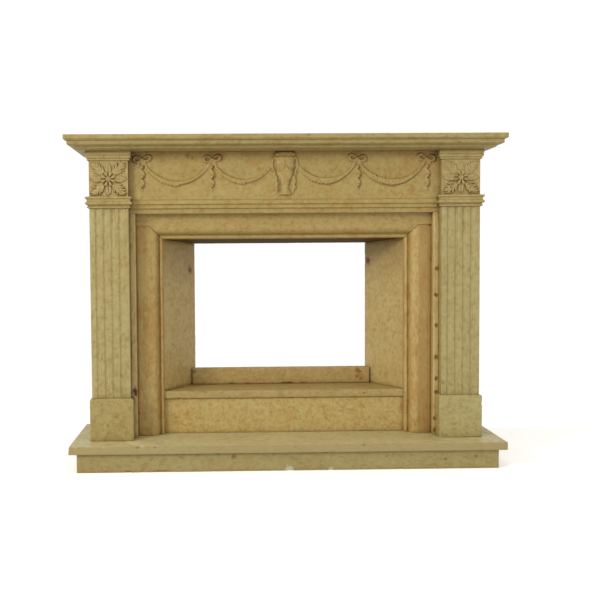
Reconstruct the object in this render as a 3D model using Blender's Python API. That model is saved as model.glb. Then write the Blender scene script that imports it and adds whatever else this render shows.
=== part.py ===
"""Carved marble chimneypiece: fluted pilasters with rosette blocks, a frieze
with swags, bows and an urn, a moulded shelf, a moulded inner frame, splayed
firebox jambs and a raised inner hearth, all on a projecting hearth slab.

Metres, +Z up.  X = 0 is the middle, the front faces -Y, Z = 0 is the floor.
Every depth below is measured from the hearth slab's front edge backwards.
"""

import math

import bmesh
import bpy
from mathutils import Vector

# ---------------------------------------------------------------- sizes (m)
DEPTH = 0.510            # hearth slab front edge to the back
GAP = 0.0003             # dry joint between neighbouring blocks

BASE_HALF = 0.861        # base block
BASE_FRONT = 0.021
BASE_TOP = 0.0775
SLAB_HALF = 0.891        # hearth slab
SLAB_BOTTOM = 0.0778
SLAB_TOP = 0.1105

SHELF_HALF = 0.900       # moulded shelf
SHELF_FRONT = 0.043
SHELF_BOTTOM = 1.3083
SHELF_TOP = 1.3660

PLINTH_IN, PLINTH_OUT = 0.637, 0.818
PLINTH_FRONT = 0.115
PLINTH_TOP = 0.2868
PLINTH_EASE = 0.006

SHAFT_IN, SHAFT_OUT = 0.650, 0.811
SHAFT_FRONT = 0.137
SHAFT_TOP = 1.0722
FLUTES = 4
FLUTE_WIDTH = 0.0200
FLUTE_DEPTH = 0.0075

BLOCK_BOTTOM = 1.0725    # necking, rosette face and cap, in one block
NECK_TOP = 1.1235
CAP_BOTTOM = 1.2690
BLOCK_TOP = 1.3080
ROSETTE_Z = 1.1945
ROSETTE_X = 0.7305

STRIP_IN = 0.6265        # flat strip beside each shaft
STRIP_FRONT = 0.180
STRIP_BACK = 0.300
ARCH_BOTTOM = 1.0530     # lowest fascia's lower edge

FRIEZE_HALF = 0.6497
FIELD_FRONT = 0.1670     # plain ground of the frieze
FRIEZE_BACK = 0.2220

OPENING_HALF = 0.516     # inner edge of the moulded frame
OPENING_TOP = 0.9477
FRAME_FLAT = 0.2190      # the frame's flat face
FRAME_BACK = 0.2750
MOULD_WIDTH = 0.0555     # bead, groove and ovolo together

RISER_FRONT = 0.272
RISER_TOP = 0.2597
TOP_FRONT = 0.262
TOP_BOTTOM, TOP_TOP = 0.2600, 0.2945
KERB_FRONT, KERB_BACK = 0.465, 0.500
KERB_TOP = 0.368
KERB_GAP = 0.009

JAMB_FRONT_X = 0.514     # splay of the firebox jambs, at depth 0.2753
JAMB_BACK_X = 0.388      # ... and at the back
JAMB_THICK = 0.028
LINTEL_SLOPE = 0.0762    # the lintel's underside drops to the back
LINTEL_FRONT_Z = 0.9493
LINTEL_THICK = 0.030
CHEEK_HALF = 0.548       # outer width behind the frame's legs


def y(depth):
    """Depth behind the hearth slab's front edge, as a world Y."""
    return depth - DEPTH / 2


# ------------------------------------------------------------- clean scene
for old in list(bpy.data.objects):
    bpy.data.objects.remove(old, do_unlink=True)


def material(name, colour, roughness):
    m = bpy.data.materials.new(name)
    m.use_nodes = True
    bsdf = m.node_tree.nodes["Principled BSDF"]
    bsdf.inputs["Base Color"].default_value = (*colour, 1.0)
    bsdf.inputs["Roughness"].default_value = roughness
    bsdf.inputs["Metallic"].default_value = 0.0
    return m


PALE = (0.50, 0.41, 0.19)
WARM = (0.47, 0.34, 0.13)
DEEP = (0.42, 0.31, 0.12)


def add(name, bm, colour=PALE, roughness=0.42, guide=False):
    """Turn a finished bmesh into a named object."""
    bmesh.ops.remove_doubles(bm, verts=bm.verts, dist=0.00002)
    bmesh.ops.dissolve_degenerate(bm, edges=bm.edges, dist=0.00001)
    bmesh.ops.recalc_face_normals(bm, faces=bm.faces)
    mesh = bpy.data.meshes.new(name)
    bm.to_mesh(mesh)
    bm.free()
    obj = bpy.data.objects.new(name, mesh)
    bpy.context.scene.collection.objects.link(obj)
    if guide:
        obj.hide_render = True
        obj.display_type = "WIRE"
    else:
        mesh.materials.append(material(name, colour, roughness))
    return obj


def boolean(obj, tool, operation, overlap=False):
    mod = obj.modifiers.new(operation.lower(), "BOOLEAN")
    mod.operation = operation
    mod.object = tool
    mod.solver = "EXACT"
    mod.use_self = overlap


# ------------------------------------------------------- plain solid makers
def skin_rings(bm, rings, closed=False):
    """Skin equal-length vertex rings; cap both ends unless closed."""
    n = len(rings[0])
    m = len(rings)
    for k in range(m if closed else m - 1):
        a, b = rings[k], rings[(k + 1) % m]
        for i in range(n):
            j = (i + 1) % n
            bm.faces.new((a[i], a[j], b[j], b[i]))
    if not closed:
        bm.faces.new(rings[0][::-1])
        bm.faces.new(rings[-1])


def prism(outline, low, high, axis="z"):
    """Extrude a flat outline from low to high along one axis."""
    bm = bmesh.new()
    place = {
        "z": lambda p, t: (p[0], p[1], t),
        "x": lambda p, t: (t, p[0], p[1]),
        "y": lambda p, t: (p[0], t, p[1]),
    }[axis]
    skin_rings(bm, [[bm.verts.new(place(p, t)) for p in outline] for t in (low, high)])
    return bm


def box(x0, x1, d0, d1, z0, z1):
    return prism([(x0, y(d0)), (x1, y(d0)), (x1, y(d1)), (x0, y(d1))], z0, z1)


def eased_box(x0, x1, d0, d1, z0, z1, ease, top=True, bottom=False):
    """A block whose front and side edges are eased at the top or bottom."""
    levels = []
    if bottom:
        levels += [(z0, ease), (z0 + ease, 0.0)]
    else:
        levels += [(z0, 0.0)]
    if top:
        levels += [(z1 - ease, 0.0), (z1, ease)]
    else:
        levels += [(z1, 0.0)]
    bm = bmesh.new()
    rings = []
    for z, e in levels:
        outline = [(x0 + e, y(d0 + e)), (x1 - e, y(d0 + e)), (x1 - e, y(d1)), (x0 + e, y(d1))]
        rings.append([bm.verts.new((px, py, z)) for px, py in outline])
    skin_rings(bm, rings)
    return bm


def quarter(p0, p1, steps, bulge):
    """Points of a quarter ellipse from p0 to p1, both ends included.

    bulge "first" leaves p0 along the first coordinate, "second" along the
    second one.
    """
    out = []
    for k in range(steps + 1):
        t = math.pi / 2 * k / steps
        s, c = math.sin(t), 1 - math.cos(t)
        u, v = (s, c) if bulge == "first" else (c, s)
        out.append((p0[0] + (p1[0] - p0[0]) * u, p0[1] + (p1[1] - p0[1]) * v))
    return out


# ------------------------------------------------------------------ hearth
add("hearth_base", eased_box(-BASE_HALF, BASE_HALF, BASE_FRONT, DEPTH, 0.0, BASE_TOP, 0.003,
                             top=True, bottom=False), DEEP)
add("hearth_slab", eased_box(-SLAB_HALF, SLAB_HALF, 0.0, DEPTH, SLAB_BOTTOM, SLAB_TOP, 0.003,
                             top=True, bottom=True), PALE)

# ------------------------------------------------------------------- shelf
# (inset behind the front edge, z), upwards: hollow under the lowest band,
# three bands parted by small coves, and the slab's face.
shelf_profile = [(0.074, SHELF_BOTTOM)]
shelf_profile += quarter((0.072, 1.3088), (0.042, 1.3130), 4, "first")
shelf_profile += [(0.038, 1.3140), (0.038, 1.3220)]
shelf_profile += quarter((0.0355, 1.3230), (0.0150, 1.3270), 3, "first")
shelf_profile += [(0.013, 1.3280), (0.013, 1.3415)]
shelf_profile += quarter((0.0115, 1.3425), (0.0025, 1.3472), 3, "first")
shelf_profile += [(0.000, 1.3482), (0.000, 1.3635), (0.0025, SHELF_TOP)]

bm = bmesh.new()
rings = []
for inset, z in shelf_profile:
    hx, fy = SHELF_HALF - inset, y(SHELF_FRONT + inset)
    rings.append([bm.verts.new(p) for p in
                  ((-hx, fy, z), (hx, fy, z), (hx, y(DEPTH), z), (-hx, y(DEPTH), z))])
skin_rings(bm, rings)
add("mantel_shelf", bm, PALE)

# --------------------------------------------------------------- pilasters
block_profile = [(0.000, BLOCK_BOTTOM)]            # (overhang, z), upwards
block_profile += quarter((0.002, 1.0727), (0.009, 1.0760), 2, "second")
block_profile += [(0.009, 1.0812), (0.0055, 1.0828), (0.0055, 1.0858), (0.0105, 1.0880)]
block_profile += [(0.0105 + 0.0055 * math.sin(a), 1.0945 - 0.0055 * math.cos(a))
                  for a in [math.pi * k / 5 for k in range(1, 5)]]
block_profile += [(0.0100, 1.1010)]
block_profile += quarter((0.0090, 1.1040), (0.0145, 1.1140), 3, "second")
block_profile += [(0.016, 1.1152), (0.016, 1.1215), (0.0, NECK_TOP)]
block_profile += [(0.0, CAP_BOTTOM), (0.0055, 1.2697), (0.0068, 1.2715), (0.0068, 1.2762),
                  (0.0058, 1.2775), (0.0085, 1.2790)]
block_profile += quarter((0.0092, 1.2800), (0.0124, 1.2880), 3, "first")
block_profile += [(0.0108, 1.2900), (0.0108, 1.2918), (0.013, 1.2935), (0.013, BLOCK_TOP)]


def shaft_outline(side):
    """Plan of a shaft: a rectangle with round flutes cut in its front."""
    width = SHAFT_OUT - SHAFT_IN
    half = FLUTE_WIDTH / 2
    radius = (half * half + FLUTE_DEPTH ** 2) / (2 * FLUTE_DEPTH)
    sweep = math.asin(half / radius)
    pts = [(SHAFT_IN, y(SHAFT_FRONT))]
    for k in range(1, FLUTES + 1):
        cx = SHAFT_IN + width * k / (FLUTES + 1)
        for i in range(9):
            a = -sweep + 2 * sweep * i / 8
            pts.append((cx + radius * math.sin(a),
                        y(SHAFT_FRONT + FLUTE_DEPTH - radius * (1 - math.cos(a)))))
    pts += [(SHAFT_OUT, y(SHAFT_FRONT)), (SHAFT_OUT, y(DEPTH)), (SHAFT_IN, y(DEPTH))]
    return [(side * px, py) for px, py in pts]


# ------------------------------------------------------- carved ornament
def tube(bm, path, radii, sides=8, flat=0.8, closed=False):
    """A swept round: path lies in the XZ plane at its own depth."""
    rings = []
    n = len(path)
    for i, (p, r) in enumerate(zip(path, radii)):
        a = path[(i - 1) % n] if closed or i > 0 else path[i]
        b = path[(i + 1) % n] if closed or i < n - 1 else path[i]
        tangent = (Vector(b) - Vector(a)).normalized()
        normal = Vector((-tangent.z, 0.0, tangent.x)).normalized()
        ring = []
        for s in range(sides):
            ang = 2 * math.pi * (s + 0.5) / sides
            ring.append(bm.verts.new(Vector(p) + normal * (r * math.cos(ang))
                                     + Vector((0, r * flat * math.sin(ang), 0))))
        rings.append(ring)
    skin_rings(bm, rings, closed)


def bead(bm, centre, along, across, deep, angle):
    """A small ellipsoid, turned by angle in the XZ plane."""
    made = bmesh.ops.create_icosphere(bm, subdivisions=2, radius=1.0)
    c, s = math.cos(angle), math.sin(angle)
    for v in made["verts"]:
        u, w, d = v.co.x * along, v.co.z * across, v.co.y * deep
        v.co = Vector((centre[0] + u * c - w * s, centre[1] + d, centre[2] + u * s + w * c))


def leaf(bm, root, angle, length, width, height, sink, lobes=3):
    """A lobed leaf with a hollow midrib, lying on the ground it springs from."""
    steps, half = 7, 2
    c, s = math.cos(angle), math.sin(angle)
    rows = []
    for i in range(steps + 1):
        t = i / steps
        w = width / 2 * (math.sin(math.pi * (0.10 + 0.88 * t)) ** 0.7)
        w *= 1 + 0.16 * math.cos(2 * math.pi * lobes * t + math.pi)
        rise = height * math.sin(math.pi * (0.15 + 0.80 * t)) ** 0.6
        row = []
        for j in range(-half, half + 1):
            q = j / half
            across = w * q
            curl = 0.10 * length * abs(q) * t
            u = length * t - curl * 0.5
            lift = rise * (1 - q * q) ** 0.5 if abs(q) < 1 else 0.0
            if j == 0:
                lift *= 0.62
            row.append(bm.verts.new((root[0] + u * c - across * s, root[1] + 0.0006 - lift,
                                     root[2] + u * s + across * c)))
        rows.append(row)
    for a, b in zip(rows, rows[1:]):
        for k in range(2 * half):
            bm.faces.new((a[k], a[k + 1], b[k + 1], b[k]))
    rim = rows[0][:] + [r[-1] for r in rows[1:]] + rows[-1][-2::-1] + [r[0] for r in rows[-2:0:-1]]
    low = [bm.verts.new((v.co.x, root[1] + sink, v.co.z)) for v in rim]
    n = len(rim)
    for i in range(n):
        j = (i + 1) % n
        bm.faces.new((rim[i], rim[j], low[j], low[i]))
    bm.faces.new(low)


def swag_path(xa, za, xb, zb, sag, depth, steps):
    """A hanging curve between two points, lowest near its middle."""
    pts = []
    k = 1.6
    for i in range(steps + 1):
        t = i / steps
        drop = (math.cosh(k) - math.cosh(k * (2 * t - 1))) / (math.cosh(k) - 1)
        pts.append((xa + (xb - xa) * t, depth, za + (zb - za) * t - sag * drop))
    return pts


def swag(bm, xa, za, xb, zb, sag, thick):
    """A garland: thick and leafy in the middle, thin at both ends."""
    steps = 26
    path = swag_path(xa, za, xb, zb, sag, y(FIELD_FRONT) + 0.001, steps)
    radii = []
    for i in range(steps + 1):
        t = i / steps
        swell = 0.30 + 0.70 * math.sin(math.pi * t) ** 0.8
        radii.append(thick * swell * (1 + 0.10 * math.cos(math.pi * i)))
    tube(bm, path, radii, sides=8, flat=0.75)


def bow(bm, x, z, lean):
    """Two ribbon loops, a knot and a twisted tail that hangs from it."""
    face = y(FIELD_FRONT)
    for side in (-1, 1):
        loop = []
        for i in range(12):
            a = 2 * math.pi * i / 12
            u = 0.0185 + 0.0150 * math.cos(a)
            w = 0.0095 * math.sin(a) * (0.65 + 0.35 * u / 0.0335)
            loop.append((x + side * u, face - 0.0015, z + w + 0.10 * u * (1 - side * lean)))
        tube(bm, loop, [0.0046] * 12, sides=6, flat=1.1, closed=True)
    bead(bm, (x, face - 0.001, z - 0.001), 0.0085, 0.0080, 0.0085, 0.0)
    tail = []
    steps = 14
    for i in range(steps + 1):
        t = i / steps
        swing = 0.0062 * math.sin(2 * math.pi * 1.9 * t) * (0.35 + 0.65 * math.sin(math.pi * t))
        tail.append((x + lean * 0.004 + swing, face + 0.0005, z - 0.008 - 0.122 * t))
    radii = [0.0048 + 0.0042 * math.sin(math.pi * (0.10 + 0.78 * i / steps)) for i in range(steps + 1)]
    tube(bm, tail, radii, sides=6, flat=0.85)


def urn(bm):
    """A covered urn with side handles, hanging drops and small swags."""
    face = y(FIELD_FRONT)
    outline = [(1.1290, 0.0275), (1.1360, 0.0285), (1.1420, 0.0200), (1.1560, 0.0145),
               (1.1690, 0.0140), (1.1740, 0.0185), (1.1860, 0.0240), (1.2050, 0.0315),
               (1.2250, 0.0365), (1.2550, 0.0395), (1.2720, 0.0410), (1.2790, 0.0445),
               (1.2840, 0.0430), (1.2875, 0.0330), (1.2940, 0.0230), (1.3000, 0.0120)]
    sides = 14
    rings = []
    for z, r in outline:
        rings.append([bm.verts.new((r * math.cos(2 * math.pi * (i + 0.5) / sides),
                                    face + 0.002 + 0.36 * r * math.sin(2 * math.pi * (i + 0.5) / sides), z))
                      for i in range(sides)])
    skin_rings(bm, rings)
    for side in (-1, 1):
        handle = [(side * (0.0400 + 0.0125 * math.sin(math.pi * k / 8)), face - 0.0005,
                   1.2840 - 0.0640 * k / 8) for k in range(9)]
        tube(bm, handle, [0.0042] * 9, sides=6, flat=1.0)
        drop = [(side * (0.0400 - 0.0060 * k / 8), face, 1.2180 - 0.0800 * k / 8) for k in range(9)]
        radii = [0.0038 + 0.0058 * math.sin(math.pi * min(1.0, (k / 8) ** 1.5)) for k in range(9)]
        tube(bm, drop, radii, sides=6, flat=0.9)
        drape = []
        for k in range(9):
            t = k / 8
            px = side * (0.003 + 0.034 * t)
            pz = 1.2460 - 0.0200 * math.sin(math.pi * t)
            drape.append((px, face + 0.002 - 0.36 * math.sqrt(max(0.0, 0.040 ** 2 - px * px)), pz))
        tube(bm, drape, [0.0030] * 9, sides=6, flat=1.0)
        bead(bm, (side * 0.0350, face - 0.002, 1.2905), 0.0075, 0.0065, 0.0085, 0.0)


def rosette(bm, side):
    """Button, ring of petals, four corner leaves and four lesser leaves."""
    cx, cy, cz = side * ROSETTE_X, y(SHAFT_FRONT), ROSETTE_Z
    for k in range(4):
        a = math.pi / 4 + math.pi / 2 * k
        leaf(bm, (cx + 0.014 * math.cos(a), cy, cz + 0.014 * math.sin(a)), a,
             0.078, 0.052, 0.0065, 0.004)
    for k in range(4):
        a = math.pi / 2 * k
        leaf(bm, (cx + 0.016 * math.cos(a), cy, cz + 0.016 * math.sin(a)), a,
             0.046, 0.022, 0.0045, 0.003, lobes=1)
    for k in range(8):
        a = math.pi / 8 + math.pi / 4 * k
        bead(bm, (cx + 0.0205 * math.cos(a), cy - 0.0045, cz + 0.0205 * math.sin(a)),
             0.0115, 0.0062, 0.0055, a)
    bead(bm, (cx, cy - 0.004, cz), 0.0090, 0.0090, 0.0080, 0.0)


for side, name in ((-1, "left"), (1, "right")):
    # plinth: L-shaped in plan, lapping over the side strip's foot
    bm = bmesh.new()
    rings = []
    for z, e in ((SLAB_TOP + GAP, 0.0), (PLINTH_TOP - PLINTH_EASE, 0.0), (PLINTH_TOP, PLINTH_EASE)):
        plan = [(PLINTH_IN + e, PLINTH_FRONT + e), (PLINTH_OUT - e, PLINTH_FRONT + e),
                (PLINTH_OUT - e, DEPTH), (SHAFT_IN + GAP, DEPTH),
                (SHAFT_IN + GAP, STRIP_FRONT - GAP), (PLINTH_IN + e, STRIP_FRONT - GAP)]
        rings.append([bm.verts.new((side * px, y(d), z)) for px, d in plan])
    skin_rings(bm, rings)
    add(name + "_pilaster_plinth", bm, PALE)

    add(name + "_pilaster_shaft", prism(shaft_outline(side), PLINTH_TOP + GAP, SHAFT_TOP), PALE)

    # block: mouldings returned on both sides, the inner return stopping
    # against the frieze's ground and the architrave
    bm = bmesh.new()
    rings = []
    for o, z in block_profile:
        stop = 0.1617 if z < 1.1115 else FIELD_FRONT - GAP
        plan = [(SHAFT_IN - o, SHAFT_FRONT - o), (SHAFT_OUT + o, SHAFT_FRONT - o),
                (SHAFT_OUT + o, DEPTH), (SHAFT_IN, DEPTH), (SHAFT_IN, stop), (SHAFT_IN - o, stop)]
        rings.append([bm.verts.new((side * px, y(d), z)) for px, d in plan])
    skin_rings(bm, rings)
    block = add(name + "_rosette_block", bm, PALE)
    carving = bmesh.new()
    rosette(carving, side)
    boolean(block, add(name + "_rosette_carving", carving, guide=True), "UNION", overlap=True)

    strip = sorted((side * STRIP_IN, side * (SHAFT_IN - GAP)))
    add(name + "_side_strip", box(strip[0], strip[1], STRIP_FRONT, STRIP_BACK,
                                  SLAB_TOP + GAP, ARCH_BOTTOM - GAP), PALE)

# ------------------------------------------------- frieze and architrave
frieze_outline = [(0.2220, BLOCK_TOP), (FIELD_FRONT, BLOCK_TOP), (FIELD_FRONT, 1.1100)]
frieze_outline += quarter((0.1662, 1.1092), (0.1622, 1.1072), 2, "second")
frieze_outline += [(0.1620, 1.0918), (0.1650, 1.0902), (0.1675, 1.0885), (0.1700, 1.0872),
                   (0.1700, 1.0748), (0.1730, 1.0732), (0.1765, 1.0716), (0.1795, 1.0700),
                   (0.1795, ARCH_BOTTOM), (FRIEZE_BACK, ARCH_BOTTOM)]
frieze = add("carved_frieze",
             prism([(y(d), z) for d, z in frieze_outline], -FRIEZE_HALF, FRIEZE_HALF, "x"), WARM)

OUTER_BOW, INNER_BOW = 0.5930, 0.3030
BOW_Z = 1.2735
carving = bmesh.new()
for side in (-1, 1):
    swag(carving, side * (OUTER_BOW - 0.008), 1.2560, side * (INNER_BOW + 0.007), 1.2560, 0.0840, 0.0110)
    swag(carving, side * (INNER_BOW - 0.007), 1.2560, side * 0.0520, 1.2500, 0.0710, 0.0100)
    bow(carving, side * OUTER_BOW, BOW_Z, side)
    bow(carving, side * INNER_BOW, BOW_Z, side)
urn(carving)
boolean(frieze, add("frieze_carving", carving, guide=True), "UNION", overlap=True)

# ---------------------------------------------------- moulded inner frame
# (distance outwards from the opening's edge, depth)
mould = [(0.0, FRAME_BACK), (0.0, 0.2580), (0.0015, 0.2525), (0.0050, 0.2485), (0.0090, 0.2470),
         (0.0135, 0.2478), (0.0155, 0.2495), (0.0165, 0.2515), (0.0190, 0.2515), (0.0200, 0.2476)]
mould += [(MOULD_WIDTH - s, d) for s, d in
          quarter((0.0, FRAME_FLAT), (MOULD_WIDTH - 0.0200, 0.2476), 6, "first")[-2::-1]]

HEADER_TOP = ARCH_BOTTOM - GAP
OUTER = STRIP_IN - GAP
header_section = [(y(d), OPENING_TOP + s) for s, d in mould]
header_section += [(y(FRAME_FLAT), HEADER_TOP), (y(FRAME_BACK), HEADER_TOP)]
header = add("insert_header", prism(header_section, -OUTER, OUTER, "x"), WARM)
seam_z = OPENING_TOP + MOULD_WIDTH
mitre_x = OPENING_HALF + MOULD_WIDTH
face = [(-OUTER - 0.05, HEADER_TOP + 0.05), (-OUTER - 0.05, seam_z), (-mitre_x, seam_z),
        (-OPENING_HALF + 0.02, OPENING_TOP - 0.02), (OPENING_HALF - 0.02, OPENING_TOP - 0.02),
        (mitre_x, seam_z), (OUTER + 0.05, seam_z), (OUTER + 0.05, HEADER_TOP + 0.05)]
guide = add("header_outline", prism(face, y(0.15), y(0.35), "y"), guide=True)
boolean(header, guide, "INTERSECT")

for side, name in ((-1, "left"), (1, "right")):
    section = [(side * (OPENING_HALF + s), y(d)) for s, d in mould]
    section += [(side * OUTER, y(FRAME_FLAT)), (side * OUTER, y(FRAME_BACK))]
    leg = add("insert_" + name + "_leg", prism(section, SLAB_TOP + GAP, HEADER_TOP), WARM)
    s = 2 * GAP
    face = [(side * (OUTER + 0.05), 0.0), (side * (OUTER + 0.05), seam_z - GAP),
            (side * (mitre_x + s - GAP), seam_z - GAP),
            (side * (OPENING_HALF - 0.02 + s), OPENING_TOP - 0.02),
            (side * (OPENING_HALF - 0.02), 0.0)]
    guide = add(name + "_leg_outline", prism(face, y(0.15), y(0.35), "y"), guide=True)
    boolean(leg, guide, "INTERSECT")

# ------------------------------------------------------ raised inner hearth
edge = OPENING_HALF - 0.0006
add("inner_hearth_riser", box(-edge, edge, RISER_FRONT, DEPTH, SLAB_TOP + GAP, RISER_TOP), WARM)

bm = bmesh.new()
rings = []
for z, e in ((TOP_BOTTOM, 0.005), (TOP_BOTTOM + 0.006, 0.0), (TOP_TOP - 0.006, 0.0), (TOP_TOP, 0.005)):
    behind = FRAME_BACK + GAP
    plan = [(-edge, TOP_FRONT + e), (edge, TOP_FRONT + e), (edge, behind), (CHEEK_HALF, behind),
            (CHEEK_HALF, DEPTH), (-CHEEK_HALF, DEPTH), (-CHEEK_HALF, behind), (-edge, behind)]
    rings.append([bm.verts.new((px, y(d), z)) for px, d in plan])
skin_rings(bm, rings)
add("inner_hearth_top", bm, WARM)


def jamb_x(depth):
    """Face of the splayed jamb at a depth."""
    t = (depth - (FRAME_BACK + GAP)) / (DEPTH - FRAME_BACK - GAP)
    return JAMB_FRONT_X + (JAMB_BACK_X - JAMB_FRONT_X) * t


bm = bmesh.new()
plan = [(-jamb_x(KERB_FRONT) + KERB_GAP, KERB_FRONT), (jamb_x(KERB_FRONT) - KERB_GAP, KERB_FRONT),
        (jamb_x(KERB_BACK) - KERB_GAP, KERB_BACK), (-jamb_x(KERB_BACK) + KERB_GAP, KERB_BACK)]
rings = [[bm.verts.new((px, y(d), z)) for px, d in plan] for z in (TOP_TOP + GAP, KERB_TOP)]
skin_rings(bm, rings)
add("inner_hearth_kerb", bm, DEEP)


def lintel_z(depth):
    """Underside of the lintel at a depth."""
    return LINTEL_FRONT_Z - LINTEL_SLOPE * (depth - FRAME_BACK)


run = math.hypot(JAMB_FRONT_X - JAMB_BACK_X, DEPTH - FRAME_BACK - GAP)
thick_x = JAMB_THICK * run / (DEPTH - FRAME_BACK - GAP)   # measured straight across
for side, name in ((-1, "left"), (1, "right")):
    front, back = FRAME_BACK + GAP, DEPTH
    plan = [(jamb_x(front), front), (jamb_x(back), back),
            (jamb_x(back) + thick_x, back), (jamb_x(front) + thick_x, front)]
    bm = bmesh.new()
    rings = [[bm.verts.new((side * px, y(d), TOP_TOP + GAP)) for px, d in plan],
             [bm.verts.new((side * px, y(d), lintel_z(d) - GAP)) for px, d in plan]]
    skin_rings(bm, rings)
    add(name + "_firebox_jamb", bm, DEEP)

section = [(y(FRAME_BACK + GAP), lintel_z(FRAME_BACK)), (y(DEPTH), lintel_z(DEPTH)),
           (y(DEPTH), lintel_z(DEPTH) + LINTEL_THICK), (y(FRAME_BACK + GAP), lintel_z(FRAME_BACK) + LINTEL_THICK)]
add("firebox_lintel", prism(section, -CHEEK_HALF, CHEEK_HALF, "x"), DEEP)

bpy.context.view_layer.update()
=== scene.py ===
import math

import bmesh
import bpy
import numpy as np
from mathutils import Matrix, Vector


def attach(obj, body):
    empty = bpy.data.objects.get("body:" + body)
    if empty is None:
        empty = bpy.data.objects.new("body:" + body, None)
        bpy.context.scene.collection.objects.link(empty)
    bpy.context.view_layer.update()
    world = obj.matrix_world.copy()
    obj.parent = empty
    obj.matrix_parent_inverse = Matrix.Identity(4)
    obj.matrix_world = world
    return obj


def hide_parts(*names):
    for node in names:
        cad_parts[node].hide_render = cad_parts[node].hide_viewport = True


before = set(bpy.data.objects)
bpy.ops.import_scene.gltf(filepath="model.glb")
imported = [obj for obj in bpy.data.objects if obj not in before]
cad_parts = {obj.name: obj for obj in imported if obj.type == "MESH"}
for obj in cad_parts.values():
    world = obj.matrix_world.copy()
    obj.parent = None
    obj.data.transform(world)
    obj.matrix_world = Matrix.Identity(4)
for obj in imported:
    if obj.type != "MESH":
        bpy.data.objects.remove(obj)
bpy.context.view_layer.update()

# ===================================================================== camera
# 54 mm lens on a 36 mm square frame, a little left of the middle, level with
# the opening, looking slightly down.
CAM_AT = Vector((-0.2794, -3.8538, 0.8725))
YAW, PITCH, ROLL = 0.0234, -0.0484, -0.0073


def make_camera():
    cy, sy = math.cos(YAW), math.sin(YAW)
    cp, sp = math.cos(PITCH), math.sin(PITCH)
    cr, sr = math.cos(ROLL), math.sin(ROLL)
    ahead = Vector((sy, cy, 0.0))
    right0 = Vector((cy, -sy, 0.0))
    look = ahead * cp + Vector((0, 0, sp))
    up0 = ahead * -sp + Vector((0, 0, cp))
    right = right0 * cr + up0 * sr
    up = up0 * cr - right0 * sr
    m = Matrix.Identity(4)
    for row in range(3):
        m[row][0], m[row][1], m[row][2], m[row][3] = right[row], up[row], -look[row], CAM_AT[row]
    data = bpy.data.cameras.new("camera")
    data.lens = 54.0
    data.sensor_width = 36.0
    data.shift_x = 0.1
    cam = bpy.data.objects.new("camera", data)
    bpy.context.scene.collection.objects.link(cam)
    cam.matrix_world = m
    bpy.context.scene.camera = cam


make_camera()

# ============================================================ sizes of the part
DEPTH = 0.510
GAP = 0.0003
BASE_HALF, BASE_FRONT, BASE_TOP = 0.861, 0.021, 0.0775
SLAB_HALF, SLAB_BOTTOM, SLAB_TOP = 0.891, 0.0778, 0.1105
SHELF_HALF, SHELF_FRONT, SHELF_BOTTOM, SHELF_TOP = 0.900, 0.043, 1.3083, 1.3660
PLINTH_IN, PLINTH_OUT, PLINTH_FRONT, PLINTH_TOP = 0.637, 0.818, 0.115, 0.2868
SHAFT_IN, SHAFT_OUT, SHAFT_FRONT, SHAFT_TOP = 0.650, 0.811, 0.137, 1.0722
FLUTES, FLUTE_WIDTH, FLUTE_DEPTH = 4, 0.0200, 0.0050
BLOCK_BOTTOM, NECK_TOP, CAP_BOTTOM, BLOCK_TOP = 1.0725, 1.1235, 1.2690, 1.3080
ROSETTE_X, ROSETTE_Z = 0.7305, 1.1945
STRIP_IN, STRIP_FRONT, STRIP_BACK, ARCH_BOTTOM = 0.6265, 0.180, 0.300, 1.0530
FRIEZE_HALF, FIELD_FRONT, FRIEZE_BACK = 0.6497, 0.1670, 0.2220
OPENING_HALF, OPENING_TOP = 0.516, 0.9477
FRAME_FLAT, FRAME_BACK, MOULD_WIDTH = 0.2190, 0.2750, 0.0555
RISER_FRONT, RISER_TOP, TOP_FRONT, TOP_BOTTOM, TOP_TOP = 0.272, 0.2597, 0.262, 0.2600, 0.2945
KERB_FRONT, KERB_BACK, KERB_TOP, KERB_GAP = 0.465, 0.500, 0.368, 0.009
JAMB_FRONT_X, JAMB_BACK_X, JAMB_THICK = 0.514, 0.388, 0.028
LINTEL_SLOPE, LINTEL_FRONT_Z, LINTEL_THICK, CHEEK_HALF = 0.0762, 0.9493, 0.030, 0.548
OUTER = STRIP_IN - GAP


def y(depth):
    return depth - DEPTH / 2


# ======================================================================= noise
def vnoise(p, seed=0):
    """Smooth lattice noise in [-1, 1] at the rows of p."""
    p = np.asarray(p, float)
    i = np.floor(p).astype(np.int64)
    f = p - i
    f = f * f * f * (f * (f * 6 - 15) + 10)
    out = np.zeros(len(p))
    with np.errstate(over="ignore"):
        for dx in (0, 1):
            wx = f[:, 0] if dx else 1 - f[:, 0]
            for dy in (0, 1):
                wy = f[:, 1] if dy else 1 - f[:, 1]
                for dz in (0, 1):
                    wz = f[:, 2] if dz else 1 - f[:, 2]
                    n = ((i[:, 0] + dx) * 73856093) ^ ((i[:, 1] + dy) * 19349663) ^ ((i[:, 2] + dz) * 83492791)
                    n = (n ^ (seed * 2654435)) & 0xFFFFFFFF
                    n = ((n ^ (n >> 13)) * 1274126177) & 0xFFFFFFFF
                    n = ((n ^ (n >> 16)) * 668265263) & 0xFFFFFFFF
                    n = (n ^ (n >> 15)) & 0xFFFFFFFF
                    out += wx * wy * wz * (n / 2147483647.5 - 1)
    return out


def fbm(p, octaves=3, seed=0):
    p = np.asarray(p, float)
    out, amp, tot = np.zeros(len(p)), 1.0, 0.0
    for k in range(octaves):
        out += amp * vnoise(p * 2 ** k + 17.3 * k, seed + k)
        tot += amp
        amp *= 0.5
    return out / tot


def step01(a, b, v):
    t = np.clip((v - a) / (b - a), 0, 1)
    return t * t * (3 - 2 * t)


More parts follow.
